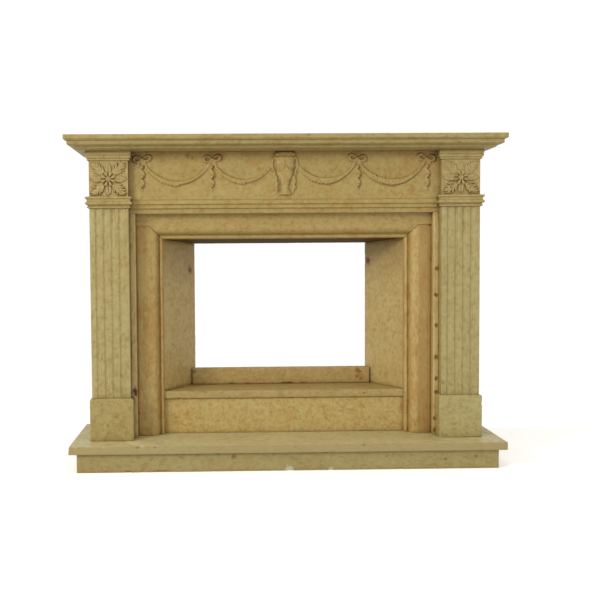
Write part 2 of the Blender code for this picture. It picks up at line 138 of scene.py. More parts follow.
# ================================================================ mesh building
def build(name, points, faces, cavity=None, weld=False, angle=38):
    """A mesh object from an array of points and a list of faces."""
    me = bpy.data.meshes.new(name)
    me.from_pydata(points.tolist(), [], faces)
    if cavity is not None:
        att = me.attributes.new("cavity", "FLOAT", "POINT")
        att.data.foreach_set("value", np.asarray(cavity, np.float32))
    bm = bmesh.new()
    bm.from_mesh(me)
    if weld:
        bmesh.ops.remove_doubles(bm, verts=bm.verts, dist=0.00003)
        bmesh.ops.dissolve_degenerate(bm, edges=bm.edges, dist=0.00001)
    bmesh.ops.recalc_face_normals(bm, faces=bm.faces)
    bm.to_mesh(me)
    bm.free()
    me.shade_smooth()
    me.set_sharp_from_angle(angle=math.radians(angle))
    obj = bpy.data.objects.new(name, me)
    bpy.context.scene.collection.objects.link(obj)
    return obj


def grid_faces(rows, cols, wrap=True, start=0):
    r, c = np.meshgrid(np.arange(rows - 1), np.arange(cols if wrap else cols - 1), indexing="ij")
    c2 = (c + 1) % cols
    q = np.stack([r * cols + c, r * cols + c2, (r + 1) * cols + c2, (r + 1) * cols + c], -1).reshape(-1, 4) + start
    return q.tolist()


def loft(name, rings, cavity=None, weld=False, angle=38, caps=True):
    """Skin an array of closed rings (rows, cols, 3)."""
    rows, cols = rings.shape[:2]
    faces = grid_faces(rows, cols)
    if caps:
        faces.append(list(range(cols))[::-1])
        faces.append(list(range((rows - 1) * cols, rows * cols)))
    return build(name, rings.reshape(-1, 3), faces, cavity, weld, angle)


def soften(points, radius, n=3):
    """Round the corners of an open run of points."""
    pts = [Vector(p) for p in points]
    out = [pts[0]]
    for a, b, c in zip(pts, pts[1:], pts[2:]):
        r = min(radius, 0.45 * (b - a).length, 0.45 * (c - b).length)
        p0, p2 = b + (a - b).normalized() * r, b + (c - b).normalized() * r
        turn = (b - a).angle(c - b) if (b - a).length > 1e-7 and (c - b).length > 1e-7 else 0
        if turn < 0.12:
            out.append(b)
            continue
        for k in range(n + 1):
            t = k / n
            out.append(p0 * (1 - t) ** 2 + b * 2 * t * (1 - t) + p2 * t * t)
    out.append(pts[-1])
    return [tuple(p) for p in out]


def quarter(p0, p1, steps, bulge):
    out = []
    for k in range(steps + 1):
        t = math.pi / 2 * k / steps
        s, c = math.sin(t), 1 - math.cos(t)
        u, v = (s, c) if bulge == "first" else (c, s)
        out.append((p0[0] + (p1[0] - p0[0]) * u, p0[1] + (p1[1] - p0[1]) * v))
    return out


def plan_ring(poly, weights, inset, radii, counts):
    """Plan polygon (x, depth), each edge moved in by inset*weight, its corners
    rounded and its edges divided; always the same number of points."""
    n = len(poly)
    P = [Vector(p) for p in poly]
    area = sum(P[i].x * P[(i + 1) % n].y - P[(i + 1) % n].x * P[i].y for i in range(n))
    sign = 1 if area > 0 else -1
    lines = []
    for i in range(n):
        a, b = P[i], P[(i + 1) % n]
        d = (b - a).normalized()
        nrm = Vector((-d.y, d.x)) * sign
        lines.append((a + nrm * inset * weights[i], d))
    Q = []
    for i in range(n):
        (p, d), (q, e) = lines[i - 1], lines[i]
        den = d.x * e.y - d.y * e.x
        t = ((q.x - p.x) * e.y - (q.y - p.y) * e.x) / den
        Q.append(p + d * t)
    out = []
    for i in range(n):
        a, b = Q[i], Q[(i + 1) % n]
        d = lines[i][1]
        prev = lines[i - 1][1]
        r0, r1 = radii[i], radii[(i + 1) % n]
        # corner point of vertex i, pulled in
        out.append(a + (d - prev) * r0 * 0.29)
        k = counts[i]
        s, e = a + d * r0, b - d * r1
        for j in range(k + 1):
            out.append(s + (e - s) * (j / k))
    return np.array([[p.x, p.y] for p in out])


def prism_rings(poly, weights, levels, radii, counts, mirror=1):
    """levels: (inset, z) or (inset, function of depth)."""
    rings = []
    for inset, z in levels:
        xy = plan_ring(poly, weights, inset, radii, counts)
        zz = z(xy[:, 1]) if callable(z) else np.full(len(xy), z)
        rings.append(np.stack([mirror * xy[:, 0], y(xy[:, 1]), zz], -1))
    return np.array(rings)


def divide(poly, steps):
    n = len(poly)
    return [max(1, int(round((Vector(poly[(i + 1) % n]) - Vector(poly[i])).length / steps[i]))) for i in range(n)]


def eased_levels(z0, z1, r, rows, top=True, bottom=True, lip=0.004):
    """Levels of a plain block: rounded arrises and rows between them."""
    out = []
    if bottom:
        out += [(r + lip, z0), (r, z0), (r * 0.29, z0 + r * 0.29), (0, z0 + r)]
    else:
        out += [(lip, z0), (0, z0)]
    lo = z0 + r if bottom else z0
    hi = z1 - r if top else z1
    out += [(0, lo + (hi - lo) * k / rows) for k in range(1, rows)]
    if top:
        out += [(0, z1 - r), (r * 0.29, z1 - r * 0.29), (r, z1), (r + lip, z1)]
    else:
        out += [(0, z1), (lip, z1)]
    return out


# ============================================================= wear and chips
def weather(obj, seed, rub=0.0006, chip=0.0018, often=0.40, wave=0.00025, size=55.0, dents=(), spare=None):
    """Rub the arrises, knock small chips out of them, and let the faces
    undulate a little. Everything moves inwards only."""
    me = obj.data
    n = len(me.vertices)
    co = np.empty(n * 3, np.float32)
    me.vertices.foreach_get("co", co)
    co = co.reshape(-1, 3).astype(float)
    nr = np.empty(n * 3, np.float32)
    me.vertex_normals.foreach_get("vector", nr)
    nr = nr.reshape(-1, 3).astype(float)
    e = np.empty(len(me.edges) * 2, np.int32)
    me.edges.foreach_get("vertices", e)
    e = e.reshape(-1, 2)
    total = np.zeros((n, 3))
    deg = np.zeros(n)
    ln = np.linalg.norm(co[e[:, 0]] - co[e[:, 1]], axis=1)
    w = 1 / np.maximum(ln, 0.0004)
    for a, b in ((0, 1), (1, 0)):
        np.add.at(total, e[:, a], (co[e[:, b]] - co[e[:, a]]) * w[:, None])
        np.add.at(deg, e[:, a], w)
    bend = -np.einsum("ij,ij->i", total / np.maximum(deg, 1e-9)[:, None], nr)
    sharp = step01(0.00008, 0.00045, bend)
    coarse = fbm(co * 30 + seed * 3.1, 3, seed)
    move = sharp * rub * (0.45 + 0.55 * coarse)
    hit = step01(often, often + 0.22, vnoise(co * size + seed * 7.7, seed + 50)) * step01(-0.2, 0.35, vnoise(co * 7 + seed, seed + 60))
    move += sharp * chip * hit
    move += wave * (0.5 + 0.5 * fbm(co * 5.5 + seed * 1.7, 2, seed + 80))
    for (dx, dy, dz), rad, deep in dents:
        d = np.linalg.norm(co - np.array([dx, dy, dz]), axis=1)
        d = d * (1 + 0.35 * vnoise(co * 130 + seed, seed + 90))
        move += deep * (1 - step01(rad * 0.25, rad, d))
    if spare is not None:
        move *= 1 - spare(co[:, 0], co[:, 1] + DEPTH / 2, co[:, 2])
    lo, hi = co.min(0), co.max(0)
    co -= nr * np.maximum(move, 0)[:, None]
    co = np.clip(co, lo, hi)
    me.vertices.foreach_set("co", co.astype(np.float32).ravel())
    me.update()


# ================================================================== materials
def lin(r, g, b):
    f = lambda v: v / 12.92 if v <= 0.04045 else ((v + 0.055) / 1.055) ** 2.4
    return (f(r / 255), f(g / 255), f(b / 255), 1.0)


class Tree:
    def __init__(self, name):
        self.mat = bpy.data.materials.new(name)
        self.mat.use_nodes = True
        self.t = self.mat.node_tree
        self.bsdf = self.t.nodes["Principled BSDF"]

    def n(self, kind, props=None, **inputs):
        node = self.t.nodes.new(kind)
        for k, v in (props or {}).items():
            setattr(node, k, v)
        for k, v in inputs.items():
            sock = node.inputs[int(k[1:])] if k[0] == "i" and k[1:].isdigit() else node.inputs[k.replace("_", " ")]
            self.put(sock, v)
        return node

    def put(self, sock, v):
        if isinstance(v, bpy.types.NodeSocket):
            self.t.links.new(v, sock)
        elif isinstance(v, bpy.types.Node):
            self.t.links.new(v.outputs[0], sock)
        else:
            sock.default_value = v

    def math(self, op, a, b=0.0, clamp=False):
        node = self.n("ShaderNodeMath", {"operation": op, "use_clamp": clamp}, i0=a, i1=b)
        return node.outputs[0]

    def mix(self, fac, a, b, blend="MIX"):
        node = self.t.nodes.new("ShaderNodeMix")
        node.data_type = "RGBA"
        node.blend_type = blend
        node.clamp_factor = True
        self.put(node.inputs[0], fac)
        self.put(node.inputs[6], a)
        self.put(node.inputs[7], b)
        return node.outputs[2]

    def remap(self, v, lo, hi, a=0.0, b=1.0, smooth=True):
        node = self.n("ShaderNodeMapRange", {"interpolation_type": "SMOOTHSTEP" if smooth else "LINEAR"},
                      i0=v, i1=lo, i2=hi, i3=a, i4=b)
        return node.outputs[0]

    def noise(self, vec, scale, detail=3.0, rough=0.55, distort=0.0):
        node = self.n("ShaderNodeTexNoise", None, Vector=vec, Scale=scale, Detail=detail,
                      Roughness=rough, Distortion=distort)
        return node.outputs[0]


CREAM = lin(196, 180, 128)
PALE = lin(186, 166, 110)
GOLD = lin(172, 146, 86)
OLIVE = lin(166, 146, 92)
AMBER = lin(174, 126, 50)
RUST = lin(140, 84, 36)
BROWN = lin(106, 74, 32)
HOLE = lin(58, 36, 14)


def marble(name, seed, light=CREAM, mid=PALE, warm=GOLD, cloud=0.5, mottle=0.5, fleck=0.5, vein=0.35,
           stretch=(1.0, 1.0, 1.0), turn=(0.0, 0.0, 0.0), shade_and_grime=0.6, tint=1.0, rough=0.40, spots=(), streak=0.0,
           fade=None):
    """Veined cream to golden marble. Every piece has its own place in the
    pattern, its own tone and its own amount of mottling."""
    T = Tree(name)
    here = T.n("ShaderNodeTexCoord").outputs["Object"]
    off = (seed * 3.17 % 11, seed * 5.31 % 13, seed * 7.73 % 17)
    vec = T.n("ShaderNodeMapping", None, Vector=here, Location=off, Rotation=turn, Scale=stretch).outputs[0]
    # slow clouds, warped so that they swirl
    warp = T.n("ShaderNodeTexNoise", None, Vector=vec, Scale=1.6, Detail=2.0)
    shift = T.n("ShaderNodeVectorMath", {"operation": "SUBTRACT"}, i0=warp.outputs[1], i1=(0.5, 0.5, 0.5)).outputs[0]
    shift = T.n("ShaderNodeVectorMath", {"operation": "SCALE"}, i0=shift).outputs[0]
    shift.node.inputs["Scale"].default_value = 0.35
    wvec = T.n("ShaderNodeVectorMath", {"operation": "ADD"}, i0=vec, i1=shift).outputs[0]
    clouds = T.noise(wvec, 4.2, 5.0, 0.58, 0.4)
    body = T.mix(T.remap(clouds, 0.36, 0.66), mid, T.mix(cloud, mid, light))
    # golden mottling in soft patches
    patch = T.noise(wvec, 17.0, 6.0, 0.66, 1.0)
    zone = T.remap(T.noise(wvec, 3.1, 3.0, 0.5, 0.3), 0.38, 0.62)
    body = T.mix(T.math("MULTIPLY", T.remap(patch, 0.45, 0.61, 0.0, min(1.0, mottle * 1.5)), T.math("ADD", T.math("MULTIPLY", zone, 0.7), 0.3)),
                 body, warm)
    # cloudlets about a centimetre across
    let = T.noise(wvec, 44.0, 4.0, 0.60, 0.8)
    body = T.mix(T.remap(let, 0.50, 0.36, 0.0, 0.50), body, light)
    body = T.mix(T.remap(let, 0.53, 0.67, 0.0, 0.42), body, T.mix(0.25, warm, BROWN))
    # small dark and light grains
    grain = T.noise(vec, 70.0, 4.0, 0.66, 0.5)
    body = T.mix(T.remap(grain, 0.51, 0.70, 0.0, 0.55), body, T.mix(0.55, warm, BROWN))
    body = T.mix(T.remap(grain, 0.49, 0.32, 0.0, 0.50), body, light)
    # amber flecks and cloudy blots
    spot = T.noise(wvec, 24.0, 4.0, 0.62, 1.6)
    blot = T.math("MULTIPLY", T.remap(spot, 0.550, 0.64), T.remap(T.noise(wvec, 5.3, 2.0, 0.5, 0.2), 0.42, 0.60))
    body = T.mix(T.math("MULTIPLY", blot, fleck), body, AMBER)
    tiny = T.noise(vec, 46.0, 2.0, 0.5, 0.8)
    body = T.mix(T.math("MULTIPLY", T.remap(tiny, 0.62, 0.70), fleck * 0.75), body, T.mix(0.55, AMBER, RUST))
    # thin wandering veins
    run = T.noise(wvec, 2.6, 8.0, 0.62, 1.8)
    line = T.math("ABSOLUTE", T.math("SUBTRACT", run, 0.5))
    where = T.remap(T.noise(vec, 2.3, 2.0), 0.47, 0.60)
    body = T.mix(T.math("MULTIPLY", T.math("MULTIPLY", T.remap(line, 0.016, 0.002), where), vein), body, T.mix(0.45, AMBER, RUST))
    if streak:
        long = T.n("ShaderNodeMapping", None, Vector=here, Location=off, Scale=(26.0, 26.0, 2.2)).outputs[0]
        s = T.noise(long, 1.0, 4.0, 0.55, 0.5)
        body = T.mix(T.remap(s, 0.50, 0.68, 0.0, streak), body, T.mix(0.35, warm, AMBER))
    # painted shade: the colour blends towards a darker one along one axis, on faces that get less light
    if fade is not None:
        (axis, lo, hi, amount, colour) = fade
        comp = T.n("ShaderNodeSeparateXYZ", None, i0=here).outputs[axis]
        body = T.mix(T.math("MULTIPLY", T.remap(comp, lo, hi), amount), body, colour)
    # local stains, knots and small holes; one patch on the left plinth is painted shade
    for (px, py, pz), rad, colour, amount in spots:
        jitter = T.n("ShaderNodeTexNoise", None, Vector=here, Scale=90.0, Detail=2.0)
        j = T.n("ShaderNodeVectorMath", {"operation": "SCALE"}, i0=T.n("ShaderNodeVectorMath", {"operation": "SUBTRACT"},
                i0=jitter.outputs[1], i1=(0.5, 0.5, 0.5)).outputs[0]).outputs[0]
        j.node.inputs["Scale"].default_value = rad * 1.1
        at = T.n("ShaderNodeVectorMath", {"operation": "ADD"}, i0=here, i1=j).outputs[0]
        dist = T.n("ShaderNodeVectorMath", {"operation": "DISTANCE"}, i0=at, i1=(px, py, pz)).outputs["Value"]
        body = T.mix(T.remap(dist, rad, rad * 0.35, 0.0, amount), body, colour)
    # painted shade, with some grime, in the hollows of the carving and under the mouldings: the cavity attribute and
    # the occlusion darkening
    cav = T.n("ShaderNodeAttribute", {"attribute_name": "cavity"}).outputs["Fac"]
    body = T.mix(T.math("MULTIPLY", cav, 0.85, True), body, T.mix(0.35, BROWN, RUST))
    ao = T.n("ShaderNodeAmbientOcclusion", {"samples": 6}, Distance=0.045)
    body = T.mix(T.remap(ao.outputs["AO"], 0.80, 0.15, 0.0, shade_and_grime), body, BROWN)
    if tint != 1.0:
        body = T.mix(1.0, body, (tint, tint * 0.995, tint * (0.99 - 0.38 * max(0.0, 1.0 - tint)), 1.0), "MULTIPLY")
    T.put(T.bsdf.inputs["Base Color"], body)
    T.put(T.bsdf.inputs["Roughness"], T.remap(grain, 0.3, 0.7, rough - 0.05, rough + 0.12, False))
    T.bsdf.inputs["IOR"].default_value = 1.48
    pits = T.remap(T.noise(vec, 120.0, 3.0, 0.6), 0.62, 0.74, 0.0, -1.0)
    soft = T.noise(vec, 38.0, 4.0, 0.6)
    high = T.math("ADD", T.math("MULTIPLY", soft, 0.6), T.math("MULTIPLY", pits, 0.4))
    bump = T.n("ShaderNodeBump", None, Strength=0.28, Distance=0.0010, Height=high).outputs[0]
    T.put(T.bsdf.inputs["Normal"], bump)
    return T.mat


# ================================================================== placement
def place(obj, node, mat):
    obj.data.materials.append(mat)
    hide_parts(node)
    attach(obj, "root")
    return obj


# ===================================================================== hearth
poly = [(-BASE_HALF, BASE_FRONT), (BASE_HALF, BASE_FRONT), (BASE_HALF, DEPTH), (-BASE_HALF, DEPTH)]
sides = [1, 1, 0, 1]
levels = eased_levels(0.0, BASE_TOP, 0.0022, 10, top=True, bottom=True)
rings = prism_rings(poly, sides, levels, [0.0025, 0.0025, 0, 0], divide(poly, [0.005, 0.012, 0.05, 0.012]))
base = loft("hearth_base_stone", rings)
weather(base, 1, rub=0.0008, chip=0.0030, often=0.34,
        dents=[((0.004, y(BASE_FRONT), 0.008), 0.020, 0.0022), ((0.170, y(BASE_FRONT), 0.006), 0.012, 0.0018),
               ((-0.230, y(BASE_FRONT), 0.062), 0.010, 0.0030)])
place(base, "hearth_base", marble(
    "marble_base", 1, light=lin(184, 168, 116), mid=lin(172, 154, 100), warm=GOLD, cloud=0.5, mottle=0.25, fleck=0.20, vein=0.25,
    stretch=(0.7, 1, 1), shade_and_grime=0.35, tint=0.745,
    spots=[((-0.588, y(BASE_FRONT), 0.026), 0.018, lin(164, 118, 70), 0.40), ((-0.598, y(BASE_FRONT), 0.012), 0.012, lin(160, 112, 62), 0.35),
           ((0.000, y(BASE_FRONT), 0.006), 0.022, lin(214, 212, 192), 0.9), ((0.170, y(BASE_FRONT), 0.004), 0.013, lin(208, 204, 180), 0.9),
           ((-0.225, y(BASE_FRONT), 0.060), 0.013, lin(134, 102, 54), 0.8), ((0.640, y(BASE_FRONT), 0.040), 0.009, lin(126, 92, 48), 0.7),
           ((0.765, y(BASE_FRONT), 0.050), 0.010, lin(130, 94, 50), 0.7)]))

poly = [(-SLAB_HALF, 0.0), (SLAB_HALF, 0.0), (SLAB_HALF, DEPTH), (-SLAB_HALF, DEPTH)]
levels = eased_levels(SLAB_BOTTOM, SLAB_TOP, 0.0024, 5)
rings = prism_rings(poly, sides, levels, [0.0025, 0.0025, 0, 0], divide(poly, [0.004, 0.010, 0.05, 0.010]))
slab = loft("hearth_slab_stone", rings)
weather(slab, 2, rub=0.0007, chip=0.0028, often=0.36,
        dents=[((-0.615, y(0), SLAB_TOP), 0.011, 0.004), ((-0.598, y(0), SLAB_TOP), 0.009, 0.0035),
               ((-0.572, y(0), SLAB_TOP), 0.008, 0.003), ((-0.540, y(0), SLAB_TOP), 0.010, 0.004),
               ((0.302, y(0), SLAB_TOP - 0.001), 0.008, 0.002)])
# painted shade: the slab's front face is coloured darker than its top
place(slab, "hearth_slab", marble(
    "marble_slab", 2, light=lin(200, 190, 144), mid=lin(187, 174, 124), warm=lin(172, 154, 100), cloud=0.7, mottle=0.20, fleck=0.10,
    vein=0.15, stretch=(0.55, 1, 1), shade_and_grime=0.45, rough=0.36, tint=0.99, fade=(1, y(0.005), y(0.0005), 0.80, lin(148, 128, 80)),
    spots=[((-0.612, y(0), SLAB_TOP - 0.001), 0.013, lin(132, 96, 50), 0.75), ((-0.572, y(0), SLAB_TOP - 0.001), 0.010, lin(132, 96, 50), 0.6),
           ((-0.540, y(0), SLAB_TOP - 0.002), 0.009, lin(122, 84, 42), 0.8), ((0.302, y(0), SLAB_TOP - 0.002), 0.010, lin(142, 92, 40), 0.85)]))

# ====================================================================== shelf
profile = [(0.0745, SHELF_BOTTOM)]
profile += quarter((0.072, 1.3088), (0.042, 1.3130), 7, "first")
profile += [(0.038, 1.3140), (0.038, 1.3220)]
profile += quarter((0.0355, 1.3230), (0.0150, 1.3270), 6, "first")
profile += [(0.013, 1.3280), (0.013, 1.3415)]
profile += quarter((0.0115, 1.3425), (0.0025, 1.3472), 5, "first")
profile += [(0.000, 1.3482), (0.000, SHELF_TOP), (0.012, SHELF_TOP)]
profile = soften(profile, 0.0020, 3)
profile = [(0.090, SHELF_BOTTOM)] + profile
poly = [(-SHELF_HALF, SHELF_FRONT), (SHELF_HALF, SHELF_FRONT), (SHELF_HALF, DEPTH), (-SHELF_HALF, DEPTH)]
rings = prism_rings(poly, sides, profile, [0.0015, 0.0015, 0, 0], divide(poly, [0.0045, 0.012, 0.06, 0.012]))
flat = rings.reshape(-1, 3)
# painted shade, with some dirt, in the creases under the steps of the moulding
crease_shade_and_dirt = sum(a * np.exp(-((flat[:, 2] - zc) / wd) ** 2) for zc, wd, a in
           ((1.3476, 0.0010, 0.50), (1.3422, 0.0010, 0.35), (1.3276, 0.0011, 0.55), (1.3135, 0.0010, 0.50)))
crease_shade_and_dirt = crease_shade_and_dirt * (0.75 + 0.4 * vnoise(flat * np.array([7.0, 7.0, 0.0]), 6))
shelf = loft("mantel_shelf_stone", rings, cavity=np.clip(crease_shade_and_dirt, 0, 1))
weather(shelf, 3, rub=0.0006, chip=0.0016, often=0.42)
place(shelf, "mantel_shelf", marble(
    "marble_shelf", 3, light=lin(190, 174, 120), mid=lin(180, 160, 104), warm=lin(172, 146, 86), cloud=0.6, mottle=0.42, fleck=0.28,
    vein=0.22, stretch=(0.6, 1, 1), shade_and_grime=0.45, tint=0.76,
    spots=[((0.700, y(0.056), 1.331), 0.006, BROWN, 0.6), ((0.758, y(0.050), 1.347), 0.005, BROWN, 0.5),
           ((-0.348, y(0.056), 1.334), 0.006, BROWN, 0.4)]))


# ================================================================== pilasters
def fluted(side):
    width = SHAFT_OUT - SHAFT_IN
    half = FLUTE_WIDTH / 2
    radius = (half * half + FLUTE_DEPTH ** 2) / (2 * FLUTE_DEPTH)
    sweep = math.asin(half / radius)
    pts = [(SHAFT_IN, DEPTH)]
    pts += [(SHAFT_IN, SHAFT_FRONT + (DEPTH - SHAFT_FRONT) * (1 - k / 12)) for k in range(1, 12)]
    run = [(SHAFT_IN, SHAFT_FRONT + 0.02), (SHAFT_IN, SHAFT_FRONT)]
    for k in range(1, FLUTES + 1):
        cx = SHAFT_IN + width * k / (FLUTES + 1)
        for i in range(13):
            a = -sweep + 2 * sweep * i / 12
            run.append((cx + radius * math.sin(a), SHAFT_FRONT + FLUTE_DEPTH - radius * (1 - math.cos(a))))
    run += [(SHAFT_OUT, SHAFT_FRONT), (SHAFT_OUT, SHAFT_FRONT + 0.02)]
    pts += soften(run, 0.0016, 3)[0:]
    pts += [(SHAFT_OUT, SHAFT_FRONT + (DEPTH - SHAFT_FRONT) * k / 12) for k in range(1, 12)]
    pts += [(SHAFT_OUT, DEPTH)]
    zs = [PLINTH_TOP + GAP + (SHAFT_TOP - PLINTH_TOP - GAP) * k / 90 for k in range(91)]
    return np.array([[(side * px, y(d), z) for px, d in pts] for z in zs])


def flower(u, w, side, seed):
    """Height of the rosette over its ground at (u, w) from its centre, and how
    deep its hollows are and how much painted shade, with some dirt, they get."""
    h = np.zeros_like(u)
    near_q = np.full(u.shape, 9.0)
    dark = np.zeros_like(u)
    rng = np.random.RandomState(seed)
    lower = 1 - step01(-0.020, 0.012, w)

    def finger(ax, az, bx, bz, ra, rb, high):
        dx, dz = bx - ax, bz - az
        t = np.clip(((u - ax) * dx + (w - az) * dz) / (dx * dx + dz * dz), 0, 1)
        q = np.hypot(u - ax - dx * t, w - az - dz * t) / (ra + (rb - ra) * t)
        near_q[:] = np.minimum(near_q, q)
        return np.where(q < 1, high * (0.35 + 0.65 * np.sqrt(np.clip(1 - q * q, 0, 1))), 0)

    def leaf(angle, root, length, high, spread, reach, groove):
        nonlocal h, dark
        c, sn = math.cos(angle), math.sin(angle)
        tip = (root + length)
        one = finger(root * c, root * sn, tip * c, tip * sn, 0.0074, 0.0040, high)
        for sd in (-1, 1):
            for t, l in ((0.06, 0.46), (0.26, 0.46), (0.46, 0.38), (0.66, 0.28)):
                a = angle + sd * (spread + rng.uniform(-0.06, 0.06)) * (1.15 - 0.35 * t)
                r0 = root + length * t
                x0, z0 = r0 * c, r0 * sn
                ll = length * l * reach
                one = np.maximum(one, finger(x0, z0, x0 + ll * math.cos(a), z0 + ll * math.sin(a), 0.0058, 0.0034, high * (0.86 - 0.12 * t)))
        p, q = u * c + w * sn, -u * sn + w * c
        g = np.exp(-(q / 0.0015) ** 2) * step01(root, root + 0.01, p) * (1 - step01(tip - 0.012, tip, p))
        one = one - groove * g * (one > 0.001)
        # painted shade along the leaf's middle groove
        dark = np.maximum(dark, g * groove / 0.0042)
        h = np.where(one > h, one, h)

    for k in range(4):                                                # lesser leaves on the axes
        leaf(math.pi / 2 * k, 0.020, 0.046 if k % 2 else 0.052, 0.0048, 0.48, 0.9, 0.0032 if k % 2 else 0.0020)
    for k in range(4):                                                # corner leaves
        a = math.pi / 4 + math.pi / 2 * k
        leaf(a, 0.020, 0.078, 0.0078 * (1.0 if math.sin(a) > 0 else 1.12), 0.52, 1.0, 0.0018)
    # painted shade on the ground just round the leaves, stronger in the lower half
    gap = step01(0.80, 1.05, near_q) * (1 - step01(1.35, 1.9, near_q))
    rr = np.hypot(u, w)
    dark = np.maximum(dark * 0.8, gap * (0.42 + 0.38 * lower))
    # drilled hollows between the lobes, most of them in the lower half, painted dark as shade
    pits = [(0.035, -0.017, 1.0), (-0.052, -0.038, 0.9), (0.034, 0.019, 0.6), (-0.030, 0.021, 0.5), (-0.036, 0.033, 0.5)] if side < 0 else []
    if side < 0:
        pits += [(x, -0.059, 0.55) for x in (-0.040, -0.024, 0.012, 0.030, 0.048)]
        pits += [(x, -0.042, 0.60) for x in (-0.030, 0.022, 0.046)]
    else:
        pits += [(-0.058 + 0.0145 * k + rng.uniform(-.002, .002), -0.060 + rng.uniform(-.001, .001), 0.95) for k in range(9)]
        pits += [(x, -0.044, 0.85) for x in (-0.056, -0.041, -0.015, 0.013, 0.038, 0.055)]
        pits += [(x, -0.030, 0.90) for x in (-0.050, -0.034, 0.032, 0.048)]
    for cx, cz, deep in pits:
        g = np.exp(-((u - cx) ** 2 + (w - cz) ** 2) / (0.0030 ** 2))
        h = h - 0.0045 * deep * g
        dark = np.maximum(dark, g * deep)
    # ring of petals round a dimpled button
    h = np.where(rr < 0.034, h * step01(0.024, 0.035, rr), h)
    fade_in = 1 - step01(0.024, 0.032, rr)
    dark = dark * (1 - fade_in)
    for k in range(8):
        a = math.pi / 8 + math.pi / 4 * k
        c, sn = math.cos(a), math.sin(a)
        long = 0.0130 * (1.12 if (side > 0 and sn < -0.3) else 1.0)
        p, q = u * c + w * sn - 0.0205, -u * sn + w * c
        m = 1 - (p / long) ** 2 - (q / (0.0062 * (1 + 0.25 * p / long))) ** 2
        h = np.maximum(h, np.where(m > 0, 0.0030 + 0.0072 * np.sqrt(np.clip(m, 0, 1)), 0))
        b = a + math.pi / 8
        c, sn = math.cos(b), math.sin(b)
        p, q = u * c + w * sn, -u * sn + w * c
        g = np.exp(-(q / 0.0019) ** 2) * step01(0.008, 0.013, p) * (1 - step01(0.024, 0.034, p))
        h = h - 0.0030 * g
        # painted shade in the grooves between the petals, stronger in the lower ones
        dark = np.maximum(dark, (0.62 + 0.25 * (sn < 0.2)) * g)
    if side > 0:                                                      # deep hollows under the two lower petals, painted dark as shade
        for a in (math.radians(207), math.radians(333)):
            for t in np.arange(9) / 8:
                r0 = 0.014 + 0.044 * t
                aa = a + 0.25 * t * (1 if math.cos(a) < 0 else -1)
                g = np.exp(-((u - r0 * math.cos(aa)) ** 2 + (w - r0 * math.sin(aa)) ** 2) / (0.0036 ** 2))
                h = h - 0.0022 * g
                dark = np.maximum(dark, 0.85 * g)
    m = 1 - (rr / 0.0100) ** 2
    knob = 0.0045 + 0.0068 * np.sqrt(np.clip(m, 0, 1)) - 0.0022 * np.exp(-(rr / 0.0026) ** 2)
    h = np.maximum(h, np.where(m > 0, knob, 0))
    dark = np.where(rr < 0.0098, 0.0, dark)
    # the carving stops short of the block's arrises
    # the upper half is carved lower and gets less painted shade
    upper = step01(-0.010, 0.020, w)
    if side > 0:
        h, dark = h * (1 - 0.45 * upper), dark * (1 - 0.70 * upper)
    else:
        h, dark = h * (1 - 0.12 * upper), dark * (0.85 - 0.35 * upper)
    keep = 1 - step01(0.0735, 0.0790, np.abs(u))
    keep = keep * (1 - step01(0.0640, 0.0690, np.abs(w)))
    return h * keep, dark * keep


neck = [(0.0, BLOCK_BOTTOM)]
neck += quarter((0.002, 1.0727), (0.009, 1.0760), 4, "second")
neck += [(0.009, 1.0812), (0.0055, 1.0828), (0.0055, 1.0858), (0.0105, 1.0880)]
neck += [(0.0105 + 0.0055 * math.sin(a), 1.0945 - 0.0055 * math.cos(a)) for a in [math.pi * k / 8 for k in range(1, 8)]]
neck += [(0.0100, 1.1010)]
neck += quarter((0.0090, 1.1040), (0.0145, 1.1140), 5, "second")
neck += [(0.016, 1.1152), (0.016, 1.1215), (0.0005, NECK_TOP)]
neck = soften(neck, 0.0012, 2)
cap = [(0.0055, 1.2697), (0.0068, 1.2715), (0.0068, 1.2762), (0.0058, 1.2775), (0.0085, 1.2790)]
cap += quarter((0.0092, 1.2800), (0.0124, 1.2880), 5, "first")
cap += [(0.0108, 1.2900), (0.0108, 1.2918), (0.013, 1.2935), (0.013, BLOCK_TOP), (0.008, BLOCK_TOP)]
cap = soften([(0.0, CAP_BOTTOM)] + cap, 0.0009, 2)

